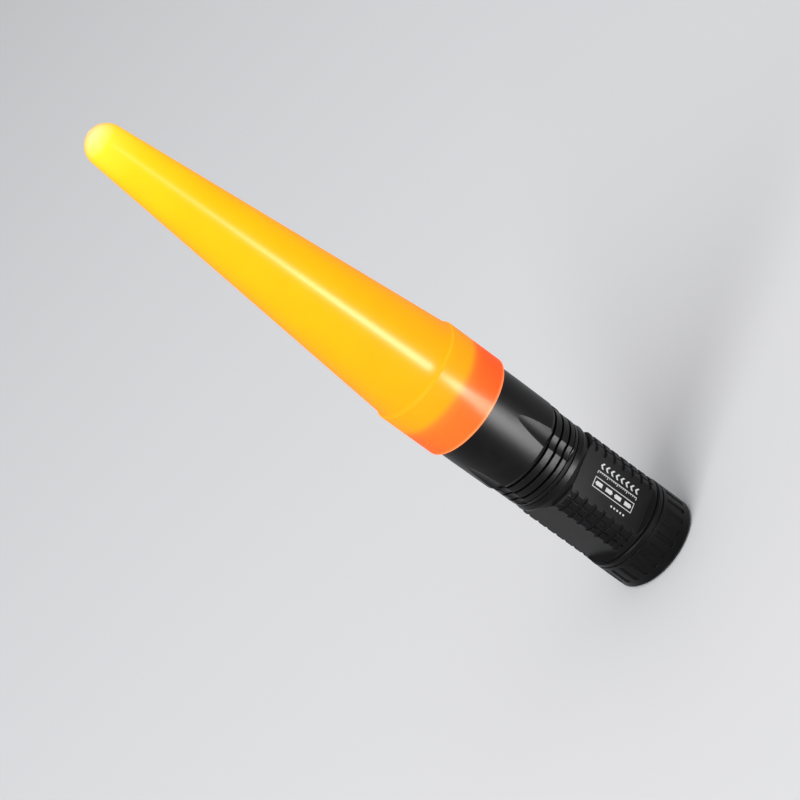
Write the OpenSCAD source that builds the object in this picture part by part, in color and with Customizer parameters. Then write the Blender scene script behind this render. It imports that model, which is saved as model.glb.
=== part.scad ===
// Traffic baton light: a four-cell hand torch with a push-on translucent wand.
// It stands on its tail cap. +Z runs up the torch to the tip of the wand, the
// side switch faces +X, the marked flat faces -Y, and the origin is the middle
// of the tail face. Millimetres.

/* [Torch] */
// Length of the torch, from tail face to bezel
torch_l = 117; // [114:1:124]
// Diameter of the head
head_d = 40; // [39.5:0.5:42]
// Diameter over the cooling fins
fin_d = 38.4; // [38:0.2:39]
// Width of the cooling grooves
fin_gap = 1.1; // [0.8:0.1:1.4]
// Depth of the flutes that lighten the head
flute_depth = 0.75; // [0.4:0.05:1.0]
// Radius of the cutter that mills the flutes
flute_r = 9; // [7:0.5:12]

/* [Grip] */
// Diameter over the grip's rounded corners
grip_d = 39.6; // [39:0.2:40]
// Width across the grip's flats
grip_af = 33.6; // [33:0.2:35]
// Spacing of the grip's ring grooves
rib_pitch = 4.8; // [4:0.1:5]
// Depth of the grip's grooves
rib_depth = 0.8; // [0.4:0.1:0.9]

/* [Cells] */
// Diameter of a cell in its sleeve
cell_d = 14.1; // [13.8:0.1:14.1]
// Length of a cell with its button
cell_l = 50.5; // [50:0.1:50.5]

/* [Tail cap] */
// Diameter of the tail cap
cap_d = 40; // [39.6:0.2:41]
// Height of the tail cap
cap_h = 18.2; // [18:0.1:18.3]
// Pitch of the tail thread
thread_pitch = 1.5; // [1:0.25:1.5]
// Diameter of the lanyard hole
lanyard_d = 2; // [1.4:0.1:2]

/* [Side switch] */
// Height of the switch above the tail face
switch_z = 70; // [69.5:0.1:70.5]
// Diameter of the push button
button_d = 11; // [10.6:0.1:11]

/* [Wand] */
// Length of the wand
wand_l = 179.5; // [150:0.5:220]
// Length of the head that the wand covers
wand_overlap = 15.5; // [13:0.5:18]
// Length of the wand's collar
collar_l = 25.8; // [24:0.2:28]
// Diameter of the collar's mouth
collar_d = 43.6; // [43.2:0.1:45]
// Diameter of the cone where it leaves the collar
cone_d = 41.8; // [41:0.1:42.4]
// Diameter of the wand's domed tip
tip_d = 16.1; // [12:0.1:20]
// Wall thickness of the cone
wand_wall = 1.6; // [1.2:0.1:2]

/* [Hidden] */
$fn = 64;

// Colours
anodised = [0.06, 0.06, 0.07];
steel = [0.72, 0.73, 0.75];
brass = [0.85, 0.68, 0.35];
pcb = [0.10, 0.35, 0.18];
rubber = [0.12, 0.12, 0.12];
wand_orange = [1.0, 0.45, 0.10];

eps = 0.01;
fit = 0.08;            // radial clearance of a running fit
gap = 0.05;            // end clearance between pieces that only just meet
head_r = head_d / 2;
fin_r = fin_d / 2;
grip_r = grip_d / 2;
flat_r = grip_af / 2;
cap_r = cap_d / 2;

// Levels up the torch
grip_z = cap_h + 0.2;              // shoulder that the tail cap closes on
flat_z = [20.3, 54.5];             // ends of the flats
neck_z = 57.7;                     // lower edge of the ring above the grip
waist_r = 18.5;                    // turned waist between the ring and the grip
fin_z = [72.5, 68.7, 64.9];        // middles of the wide grooves
line_z = [62.2, 60.2];             // middles of the narrow grooves
head_z = 74.4;                     // the head's full diameter starts here
bay_z = 62;                        // top of the cell bay
chamber_z = [65, 84];              // driver chamber
plate_t = 3;                       // thickness of the plate that carries the light
pcb_t = 1.6;
driver_z = 72;                     // underside of the driver board
driver_top_z = driver_z + pcb_t;
board_z = chamber_z[1] + plate_t;  // underside of the light's board
led_z = board_z + pcb_t;
lip_z = torch_l - 2;               // underside of the bezel's lip
seal_t = 0.8;
lens_t = 2.4;
lens_z = lip_z - seal_t - lens_t;  // underside of the lens

// Radii inside the head
chamber_r = 13.2;
bore_r = 17.5;
skirt_r = 18.4;
skirt_z = torch_l - 10.5;
window_r = 16.4;
led_focus_z = led_z + 1.4;

// Cells and their contacts
cell_r = cell_d / 2;
cell_x = cell_r + 0.1;             // each cell's axis stands this far off both planes
bay_r = cell_r + 0.2;
spring_h = 3.4;                    // height of a pressed contact spring
pad_t = 0.45;
contact_r = 3.5;
front_face_z = bay_z - pcb_t;      // contacts stand on this face
plate_z = front_face_z - pad_t - cell_l - spring_h - gap;
tail_plate_t = 1.4;
button_len = 1;                    // a cell's raised positive button
wire_r = 0.6;
key_x = 13;                        // key pins' distance from the axis
key_r = 1;
// Corners of the square the cells stand on: [x, y, positive end up]
cell_sites = [[1, 1, true], [-1, 1, false], [-1, -1, true], [1, -1, false]];

// Tail thread
thread_r = 18.6;
thread_depth = 0.35;
thread_z = [8.6, 15.4];
cap_floor_z = [2.8, plate_z - tail_plate_t - 0.6];  // underside and top of the cap's floor
cap_rim_r = 12.6;
washer_t = 0.6;
lanyard_z = 1.65;

// Side switch, measured out from the axis
pocket_x = 17.3;
pocket_r = 7.6;
switch_bore_r = 6.5;
ledge_x = 14;
button_r = button_d / 2;
tact_x = 11.8;
seal_x = 15.6;
button_top_x = 19.3;

// Wand
collar_z = torch_l - wand_overlap;
shoulder_z = collar_z + collar_l;
tip_z = collar_z + wand_l;
wand_bore_r = head_r + 0.1;
cone_r = cone_d / 2;
tip_r = tip_d / 2;

// Points on an arc about [cx, cy], from angle a to angle b
function arc(cx, cy, r, a, b, n) =
    [for (i = [0:n]) let (t = a + (b - a) * i / n) [cx + r * cos(t), cy + r * sin(t)]];

// Half angle of the cone that leaves the shoulder and meets a ball at the tip
function cone_angle(r0, z0, rt, zt) = atan2(r0, zt - z0) - asin(rt / norm([r0, zt - z0]));

module at_cells(up) {
    for (s = cell_sites)
        if (s[2] == up)
            translate([s[0] * cell_x, s[1] * cell_x, 0]) children();
}

// Turns a shape that stands on Z so that it points out along +X at the switch
module on_switch(x) {
    translate([x, 0, switch_z]) rotate([0, 90, 0]) children();
}

module tube(r_out, r_in, h) {
    difference() {
        cylinder(r = r_out, h = h);
        translate([0, 0, -1]) cylinder(r = r_in, h = h + 2);
    }
}

// ---- Torch body: head, fins, grip and cell bay in one machined piece ----

module body_outline() {
    rotate_extrude()
        polygon([[0, thread_z[0]], [thread_r - 0.5, thread_z[0]], [thread_r, thread_z[0] + 0.5],
                 [thread_r, grip_z], [grip_r - 0.6, grip_z], [grip_r, grip_z + 0.6],
                 [grip_r, flat_z[1] - 0.6], [grip_r - 0.6, flat_z[1]],
                 [waist_r, flat_z[1]], [fin_r + 0.15, neck_z],
                 [fin_r - 0.3, line_z[1]], [fin_r, line_z[0]],
                 [fin_r, fin_z[0] + 0.6], [head_r - 0.1, head_z], [head_r, head_z + 14],
                 [head_r, torch_l - 4.5], [0, torch_l - 4.5]]);
}

module ring_groove(r_bottom, z, w_bottom, w_top, r_top) {
    rotate_extrude()
        polygon([[r_bottom, z - w_bottom / 2], [r_top, z - w_top / 2],
                 [r_top, z + w_top / 2], [r_bottom, z + w_bottom / 2]]);
}

module thread_rings() {
    for (z = [thread_z[0] + 1.2 : thread_pitch : thread_z[1] - 0.4])
        ring_groove(thread_r - thread_depth, z, 0.2, 0.9, thread_r + 0.2);
    ring_groove(thread_r - 0.55, grip_z - 1.5, 1.5, 1.5, thread_r + 0.2);
}

module grip_grooves() {
    r = grip_r - rib_depth;
    first = flat_z[0] + 2.4;
    for (i = [0:6])
        ring_groove(r, first + i * rib_pitch, 1.1, 2.0, grip_r + 0.2);
    for (corner = [45:90:315], off = [-4.6, 4.6])
        rotate([0, 0, corner + off])
            translate([r, -0.5, flat_z[0] + 0.6]) cube([2, 1.0, flat_z[1] - flat_z[0] - 1.2]);
}

// One flat, with a slope at each end where the cutter runs out
module grip_flat() {
    run = 4;
    rotate([90, 0, 90]) translate([0, 0, -15])
        linear_extrude(30)
            polygon([[flat_r, flat_z[0]], [flat_r + run, flat_z[0] - run * 0.6],
                     [flat_r + run, flat_z[1] + run], [flat_r, flat_z[1]]]);
}

// A long flute that runs out on the head and goes straight through the fins
module head_flute() {
    x = fin_r - flute_depth + flute_r;
    rise = head_r - fin_r + flute_depth;
    z = head_z - 1.6;
    translate([x, 0, bay_z - 0.7]) cylinder(r = flute_r, h = z - bay_z + 0.7);
    translate([x, 0, z]) rotate([0, atan2(rise, 16.5), 0])
        translate([0, 0, -0.4]) cylinder(r = flute_r, h = 24);
}

module switch_pocket() {
    on_switch(pocket_x) cylinder(r = pocket_r, h = 6);
    on_switch(ledge_x) cylinder(r = switch_bore_r, h = 8);
    on_switch(chamber_r - 2) cylinder(r = 4.6, h = 6);
}

module cell_bay() {
    h = bay_z - thread_z[0] + 1;
    for (up = [true, false])
        at_cells(up) translate([0, 0, bay_z - h]) cylinder(r = bay_r, h = h);
    for (size = [[19, 6], [6, 19]])
        translate([-size[0] / 2, -size[1] / 2, bay_z - h]) cube([size[0], size[1], h]);
}

module head_bores() {
    translate([0, 0, chamber_z[0]]) cylinder(r = chamber_r, h = 30);
    translate([0, 0, chamber_z[1]]) cylinder(r = bore_r, h = 40);
    translate([0, 0, skirt_z - 0.5]) cylinder(r = skirt_r + gap, h = 20);
    translate([0, 0, bay_z - 1]) cylinder(r = 1.25, h = 6);
    for (x = [-6, 6]) translate([x, 0, bay_z - 1]) cylinder(r = wire_r + 0.3, h = 6);
    for (a = [90:120:330])
        rotate([0, 0, a]) translate([15.4, 0, chamber_z[1] - 6]) cylinder(r = 1, h = 10);
}

module torch_body() {
    color(anodised) difference() {
        body_outline();
        thread_rings();
        grip_grooves();
        for (a = [0:90:270]) rotate([0, 0, a]) grip_flat();
        for (z = fin_z) ring_groove(fin_r - 2, z, fin_gap - 0.2, fin_gap, fin_r + 1);
        for (z = line_z) ring_groove(fin_r - 0.9, z, 0.4, 0.6, fin_r + 1);
        for (a = [90:90:270]) rotate([0, 0, a]) head_flute();
        switch_pocket();
        cell_bay();
        head_bores();
        for (x = [-key_x, key_x])
            translate([x, 0, thread_z[0] - 1]) cylinder(r = key_r + fit, h = 5);
    }
}

// ---- Front end ----

module bezel_ring() {
    color([0.09, 0.09, 0.10]) rotate_extrude()
        polygon([[skirt_r - 0.9, skirt_z], [skirt_r, skirt_z], [skirt_r, torch_l - 4.5],
                 [head_r, torch_l - 4.5], [head_r, torch_l - 1.2], [head_r - 1, torch_l],
                 [window_r + 1, torch_l], [window_r, lip_z + 0.6], [window_r, lip_z],
                 [skirt_r - 0.9, lip_z]]);
}

module front_lens() {
    color([0.75, 0.88, 0.95, 0.4]) translate([0, 0, lens_z])
        cylinder(r = bore_r - 0.1, h = lens_t);
}

module lens_seal() {
    color(rubber) translate([0, 0, lip_z - seal_t])
        tube(bore_r - 0.1, window_r, seal_t);
}

// Parabola with its focus at the light's dome, open at the lens
module reflector() {
    depth = lens_z - led_focus_z;
    mouth = 16;
    base = 4.5;
    f = (sqrt(depth * depth + mouth * mouth) - depth) / 2;
    z0 = led_focus_z - f;
    n = 14;
    bowl = [for (i = [0:n]) let (r = base + (mouth - base) * i / n) [r, z0 + r * r / (4 * f)]];
    skin = [for (i = [n - 1:-1:4]) let (r = base + (mouth - base) * i / n)
                [r + 1.2, z0 + r * r / (4 * f) - 0.6]];
    color([0.9, 0.9, 0.92]) rotate_extrude()
        polygon(concat(bowl, [[bore_r - 0.1, lens_z], [bore_r - 0.1, lens_z - 2],
                              [mouth + 0.7, lens_z - 2]], skin,
                       [[6.2, led_z + 1.6], [6.2, led_z + 0.7], [base, led_z + 0.7]]));
}

module led_spacer() {
    color("white") translate([0, 0, led_z]) difference() {
        cylinder(r = 6.2, h = 0.7);
        translate([-2.65, -2.65, -1]) cube([5.3, 5.3, 3]);
    }
}

module led_board() {
    color(steel) translate([0, 0, board_z]) difference() {
        cylinder(r = 8, h = pcb_t);
        for (a = [0:60:300]) rotate([0, 0, a]) translate([8.2, 0, -1]) cylinder(r = 1.2, h = 4);
    }
}

module led_base() {
    color([0.92, 0.92, 0.88]) translate([-2.5, -2.5, led_z]) cube([5, 5, 0.8]);
}

module led_dome() {
    color([1, 0.9, 0.4]) translate([0, 0, led_z + 0.8]) intersection() {
        sphere(r = 1.6);
        cylinder(r = 2, h = 3);
    }
}

module light_plate() {
    color([0.75, 0.75, 0.77]) translate([0, 0, chamber_z[1]]) difference() {
        cylinder(r = bore_r - gap, h = plate_t);
        for (x = [-9.2, 9.2]) translate([x, 0, -1]) cylinder(r = wire_r + 0.3, h = 6);
        for (a = [90:120:330])
            rotate([0, 0, a]) translate([15.4, 0, -1]) cylinder(r = 1, h = 6);
    }
}

module pan_screw(shank_r, shank_l, head_r, head_h) {
    translate([0, 0, -shank_l]) cylinder(r = shank_r, h = shank_l + head_h / 2);
    difference() {
        cylinder(r = head_r, h = head_h);
        translate([-head_r, -0.25, head_h * 0.55]) cube([2 * head_r, 0.5, head_h]);
        translate([-0.25, -head_r, head_h * 0.55]) cube([0.5, 2 * head_r, head_h]);
    }
}

module plate_screws() {
    color(steel) for (a = [90:120:330])
        rotate([0, 0, a]) translate([15.4, 0, board_z]) pan_screw(1, 8, 1.7, 1.2);
}

// Two insulated wires from the driver to the light's board
module led_leads() {
    color([0.8, 0.1, 0.1]) for (s = [-1, 1]) {
        translate([s * 9.2, 0, driver_top_z]) cylinder(r = wire_r, h = led_z + wire_r - driver_top_z);
        translate([s * 9.2, 0, led_z + wire_r]) sphere(r = wire_r);
        translate([s * 7, 0, led_z + wire_r]) rotate([0, s * 90, 0]) cylinder(r = wire_r, h = 2.2);
    }
}

// ---- Driver electronics ----

module driver_posts() {
    h = chamber_z[1] - driver_top_z;
    color(brass) for (a = [40, 160, 280])
        rotate([0, 0, a]) translate([10.6, 0, driver_top_z]) cylinder(r = 1.4, h = h);
}

module driver_board() {
    color(pcb) translate([0, 0, driver_z]) difference() {
        cylinder(r = 12.8, h = pcb_t);
        translate([10.2, -7, -1]) cube([4, 14, 4]);
    }
}

module driver_coil() {
    color([0.25, 0.25, 0.27]) translate([-4, -3.5, driver_top_z]) union() {
        translate([-3.5, -3.5, 0]) cube([7, 7, 1]);
        cylinder(r = 3.3, h = 4.4);
    }
}

module driver_chips() {
    color([0.10, 0.10, 0.11]) {
        translate([2, -8, driver_top_z]) cube([5, 4, 1.5]);
        translate([2.2, 1.2, driver_top_z]) cube([4, 4, 1.1]);
        translate([-2, 6, driver_top_z]) cube([3, 3, 1.1]);
    }
}

module driver_capacitors() {
    color([0.70, 0.55, 0.35]) {
        for (i = [0:3]) translate([-8 + 2.2 * i, 3, driver_top_z]) cube([1.4, 2.4, 1.2]);
        for (x = [-3, 3]) translate([x, -7, driver_z - 4.4]) cylinder(r = 2.4, h = 4.4);
    }
}

// Wires through the web, from the cells' contact board to the driver
module battery_leads() {
    color([0.1, 0.1, 0.1]) for (x = [-6, 6])
        translate([x, 0, bay_z]) cylinder(r = wire_r, h = driver_z - bay_z);
}

// ---- Cell contacts at the head end ----

module front_contact_board() {
    color(pcb) translate([0, 0, front_face_z]) difference() {
        union() {
            for (up = [true, false]) at_cells(up) cylinder(r = cell_r, h = pcb_t);
            translate([-9, -2.8, 0]) cube([18, 5.6, pcb_t]);
            translate([-2.8, -9, 0]) cube([5.6, 18, pcb_t]);
        }
        translate([0, 0, -1]) cylinder(r = 1.25, h = 4);
    }
}

module front_contact_pads() {
    color(brass) at_cells(true) translate([0, 0, front_face_z - pad_t])
        cylinder(r = contact_r, h = pad_t);
}

// A conical spring: a round wire wound from a wide foot to a narrow top.
// The swept wire has its rings worked out from the turn angle.
module contact_spring(h) {
    turns = 3;
    steps = 14;
    sides = 6;
    wire = 0.35;
    n = turns * steps;
    function centre(i) = let (t = i / n, r = 5 - 2.2 * t)
        [r * cos(360 * turns * t), r * sin(360 * turns * t), wire + (h - 2 * wire) * t];
    rings = [for (i = [0:n]) let (c = centre(i), a = 360 * turns * i / n)
                for (k = [0:sides - 1]) let (b = 360 * k / sides)
                    c + wire * [cos(b) * cos(a), cos(b) * sin(a), sin(b)]];
    skin = [for (i = [0:n - 1], k = [0:sides - 1]) let (m = (k + 1) % sides)
                [i * sides + k, i * sides + m, (i + 1) * sides + m, (i + 1) * sides + k]];
    polyhedron(rings, concat(skin, [[for (k = [sides - 1:-1:0]) k]],
                             [[for (k = [0:sides - 1]) n * sides + k]]));
}

module front_springs() {
    color(steel) at_cells(false) translate([0, 0, front_face_z]) mirror([0, 0, 1])
        contact_spring(spring_h);
}

module front_board_screw() {
    color(steel) translate([0, 0, front_face_z]) mirror([0, 0, 1])
        pan_screw(1.25, 4, 2.2, 1.2);
}

// ---- Cells ----

module cell_solid(up) {
    body = cell_l - button_len;
    z = up ? front_face_z - pad_t - gap - cell_l : plate_z + pad_t + gap;
    translate([0, 0, up ? z : z + cell_l]) mirror([0, 0, up ? 0 : 1]) {
        cylinder(r = cell_r - 0.15, h = body);
        translate([0, 0, body - eps]) cylinder(r = 2.6, h = button_len + eps);
    }
}

module cell_sleeve_solid(up) {
    body = cell_l - button_len;
    z = up ? front_face_z - pad_t - gap - cell_l : plate_z + pad_t + gap + button_len;
    translate([0, 0, z]) tube(cell_r, cell_r - 0.15, body);
}

module cell(i) {
    s = cell_sites[i];
    color(steel) translate([s[0] * cell_x, s[1] * cell_x, 0]) cell_solid(s[2]);
}

module cell_sleeve(i) {
    s = cell_sites[i];
    color([0.15, 0.35, 0.25]) translate([s[0] * cell_x, s[1] * cell_x, 0])
        cell_sleeve_solid(s[2]);
}

// ---- Side switch ----

module switch_ring() {
    color(anodised) on_switch(0) rotate_extrude()
        polygon([[button_r + 0.5, seal_x], [switch_bore_r - gap, seal_x],
                 [switch_bore_r - gap, pocket_x], [pocket_r - 0.2, pocket_x],
                 [pocket_r - 0.2, pocket_x + 0.8], [pocket_r - 0.7, pocket_x + 1.3],
                 [button_r + 0.1, pocket_x + 1.3], [button_r + 0.1, pocket_x - 0.3],
                 [button_r + 0.5, pocket_x - 0.3]]);
}

module switch_button() {
    color([0.16, 0.16, 0.17]) on_switch(0) rotate_extrude()
        polygon([[0, seal_x + 0.6], [3, seal_x + 0.6], [3, seal_x + 0.75],
                 [button_r + 0.4, seal_x + 0.75], [button_r + 0.4, pocket_x - 0.4],
                 [button_r, pocket_x - 0.4], [button_r, button_top_x - 0.5],
                 [button_r - 0.5, button_top_x - 0.1], [2.6, button_top_x], [0, button_top_x]]);
}

module switch_seal() {
    color(rubber) on_switch(0) rotate_extrude()
        polygon([[0, seal_x - 0.4], [5.2, seal_x - 0.4], [5.2, ledge_x],
                 [switch_bore_r - 0.1, ledge_x], [switch_bore_r - 0.1, seal_x],
                 [2, seal_x], [2, seal_x + 0.6], [0, seal_x + 0.6]]);
}

module tact_switch() {
    color([0.14, 0.14, 0.15]) difference() {
        translate([tact_x, -3, switch_z - 3]) cube([2.6, 6, 6]);
        on_switch(tact_x + 0.8) cylinder(r = 1.6 + fit, h = 4);
    }
}

module tact_plunger() {
    color([0.85, 0.80, 0.70]) on_switch(tact_x + 1.6)
        cylinder(r = 1.6, h = seal_x - 0.4 - tact_x - 1.6);
}

module switch_board() {
    color(pcb) translate([tact_x - 0.9, -5, switch_z - 4.6]) cube([0.9, 10, 9.2]);
}

module switch_leads() {
    color([0.85, 0.85, 0.2]) for (y = [-3.4, 3.4])
        translate([tact_x - 0.9, y, driver_z - 0.5]) rotate([0, -90, 0]) cylinder(r = 0.5, h = 3);
}

// ---- Tail ----

module tail_contact_plate() {
    color(pcb) translate([0, 0, plate_z - tail_plate_t]) difference() {
        cylinder(r = 17.2, h = tail_plate_t);
        translate([0, 0, -1]) cylinder(r = 2 + fit, h = 4);
    }
}

module tail_contact_pads() {
    color(brass) at_cells(false) translate([0, 0, plate_z]) cylinder(r = contact_r, h = pad_t);
}

module tail_springs() {
    color(steel) at_cells(true) translate([0, 0, plate_z]) contact_spring(spring_h);
}

module tail_key_pins() {
    color(brass) for (x = [-key_x, key_x])
        translate([x, 0, plate_z]) cylinder(r = key_r, h = 4.6);
}

module tail_pivot_screw() {
    color(steel) translate([0, 0, plate_z + gap]) union() {
        pan_screw(2, tail_plate_t + washer_t + gap, 2.8, 1.1);
        translate([0, 0, -5.2]) cylinder(r = 1.5, h = 5.2);
    }
}

module tail_washer() {
    color("white") translate([0, 0, cap_floor_z[1]]) tube(12, 2.2, washer_t - gap);
}

module cap_flutes() {
    for (a = [0:15:345])
        rotate([0, 0, a]) translate([cap_r + 1.1, 0, 4.4]) cylinder(r = 1.7, h = 9.2, $fn = 32);
}

module tail_cap() {
    bore = thread_r + fit;
    color(anodised) difference() {
        union() {
            difference() {
                rotate_extrude()
                    polygon([[0, 0], [cap_r - 1.2, 0], [cap_r, 1.2], [cap_r, cap_h - 0.6],
                             [cap_r - 0.6, cap_h], [0, cap_h]]);
                translate([0, 0, -1]) cylinder(r = cap_rim_r, h = cap_floor_z[0] + 1);
                translate([0, 0, thread_z[0] - 0.3]) cylinder(r = bore, h = cap_h);
                translate([0, 0, cap_floor_z[1]]) cylinder(r = 17.6, h = cap_h);
            }
            translate([0, 0, 0.9]) cylinder(r = 4, h = cap_floor_z[1] - 0.9);
        }
        translate([0, 0, 0.5]) cylinder(r = 1.5, h = 8);
        translate([10, 0, lanyard_z]) rotate([0, 90, 0]) cylinder(r = lanyard_d / 2, h = 20);
        cap_flutes();
        ring_groove(cap_r - 0.5, 15.6, 0.6, 0.9, cap_r + 0.5);
    }
}

module tail_seal() {
    color(rubber) rotate_extrude()
        polygon([[thread_r - 0.5, grip_z - 2.1], [thread_r + 0.02, grip_z - 1.9],
                 [thread_r + 0.02, grip_z - 1.1], [thread_r - 0.5, grip_z - 0.9]]);
}

// ---- Wand ----

module wand_diffuser() {
    tip_c = tip_z - tip_r;
    a = cone_angle(cone_r, shoulder_z + 0.3, tip_r, tip_c);
    in_r = tip_r - wand_wall;
    seat_z = torch_l + 0.2;
    color(wand_orange, 0.85) rotate_extrude()
        polygon(concat(
            [[wand_bore_r + 0.3, collar_z], [collar_d / 2 - 0.2, collar_z],
             [collar_d / 2, collar_z + 0.2], [collar_d / 2 - 0.05, shoulder_z - 0.3],
             [collar_d / 2 - 0.35, shoulder_z], [cone_r, shoulder_z + 0.3]],
            arc(0, tip_c, tip_r, a, 90, 12),
            arc(0, tip_c, in_r, 90, a, 10),
            [[cone_r - wand_wall, shoulder_z], [cone_r - wand_wall, seat_z],
             [wand_bore_r, seat_z], [wand_bore_r, collar_z + 0.3]]));
}

torch_body();
bezel_ring();
front_lens();
lens_seal();
reflector();
led_spacer();
led_board();
led_base();
led_dome();
light_plate();
plate_screws();
led_leads();
driver_posts();
driver_board();
driver_coil();
driver_chips();
driver_capacitors();
battery_leads();
front_contact_board();
front_contact_pads();
front_springs();
front_board_screw();
switch_ring();
switch_button();
switch_seal();
tact_switch();
tact_plunger();
switch_board();
switch_leads();
cell(0);  // cell_1
cell(1);  // cell_2
cell(2);  // cell_3
cell(3);  // cell_4
cell_sleeve(0);  // cell_sleeve_1
cell_sleeve(1);  // cell_sleeve_2
cell_sleeve(2);  // cell_sleeve_3
cell_sleeve(3);  // cell_sleeve_4
tail_contact_plate();
tail_contact_pads();
tail_springs();
tail_key_pins();
tail_pivot_screw();
tail_washer();
tail_cap();
tail_seal();
wand_diffuser();
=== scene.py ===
"""Looks of a traffic baton light: a black four-cell torch with a glowing wand pushed on its head.

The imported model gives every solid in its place. This script dresses those solids, makes finer
meshes for the pieces that need them, and adds the studio. All lengths are in metres unless a name
ends in _mm. The torch stands on its tail: +Z runs up to the wand's tip, the button faces +X and
the marked flat faces -Y.
"""

import logging
import math
from collections.abc import Iterable, Mapping, Sequence
from dataclasses import dataclass, field
from enum import Enum
from functools import cache
from typing import Any

import bmesh
import bpy
from mathutils import Matrix, Vector


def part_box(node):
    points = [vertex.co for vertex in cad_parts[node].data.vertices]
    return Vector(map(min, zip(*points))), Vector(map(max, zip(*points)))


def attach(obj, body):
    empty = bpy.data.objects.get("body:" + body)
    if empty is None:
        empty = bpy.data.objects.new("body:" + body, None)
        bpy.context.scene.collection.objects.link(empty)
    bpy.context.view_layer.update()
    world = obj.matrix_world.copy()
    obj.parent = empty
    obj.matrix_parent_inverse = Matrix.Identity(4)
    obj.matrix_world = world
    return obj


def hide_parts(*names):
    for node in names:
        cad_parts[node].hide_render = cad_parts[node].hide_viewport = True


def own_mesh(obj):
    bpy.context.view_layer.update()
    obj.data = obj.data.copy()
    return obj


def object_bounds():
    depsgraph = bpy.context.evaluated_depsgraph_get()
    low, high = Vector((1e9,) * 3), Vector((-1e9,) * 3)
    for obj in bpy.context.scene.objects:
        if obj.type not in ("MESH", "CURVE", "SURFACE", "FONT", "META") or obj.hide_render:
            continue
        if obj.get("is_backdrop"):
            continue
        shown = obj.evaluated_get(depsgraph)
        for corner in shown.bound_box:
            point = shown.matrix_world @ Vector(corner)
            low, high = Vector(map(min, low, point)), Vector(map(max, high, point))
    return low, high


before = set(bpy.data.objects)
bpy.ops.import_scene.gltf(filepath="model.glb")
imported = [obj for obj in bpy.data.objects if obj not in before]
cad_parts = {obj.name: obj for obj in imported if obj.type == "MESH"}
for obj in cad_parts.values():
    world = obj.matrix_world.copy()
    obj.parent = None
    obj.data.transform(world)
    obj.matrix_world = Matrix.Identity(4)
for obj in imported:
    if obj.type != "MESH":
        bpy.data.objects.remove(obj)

LOG = logging.getLogger("baton")
MM = 0.001
ON_AXIS = 1e-7

Point2 = tuple[float, float]
Colour = tuple[float, float, float, float]
SQUARE: tuple[Point2, ...] = ((-1, -1), (1, -1), (1, 1), (-1, 1))


class Body(Enum):
    """The bodies that pieces ride on."""

    TORCH = "torch"
    SWITCH = "switch"
    CONTACTS = "tail_contacts"
    CAP = "tail_cap"
    WAND = "wand"


def srgb(red: int, green: int, blue: int) -> Colour:
    """Turns a screen colour into a linear one.

    Args:
        red: its red part, 0 to 255.
        green: its green part.
        blue: its blue part.

    Returns:
        The linear colour, opaque.
    """

    def linear(value: int) -> float:
        """Undoes the screen's curve for one part."""
        part = value / 255
        return part / 12.92 if part <= 0.04045 else ((part + 0.055) / 1.055) ** 2.4

    return linear(red), linear(green), linear(blue), 1.0


def metres(*values: float) -> list[float]:
    """Turns millimetres into metres."""
    return [value * MM for value in values]


def shaded(colour: Colour, part: float) -> Colour:
    """Darkens a colour to a part of itself."""
    return colour[0] * part, colour[1] * part, colour[2] * part, 1.0


# ---------------------------------------------------------------- node trees


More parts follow.
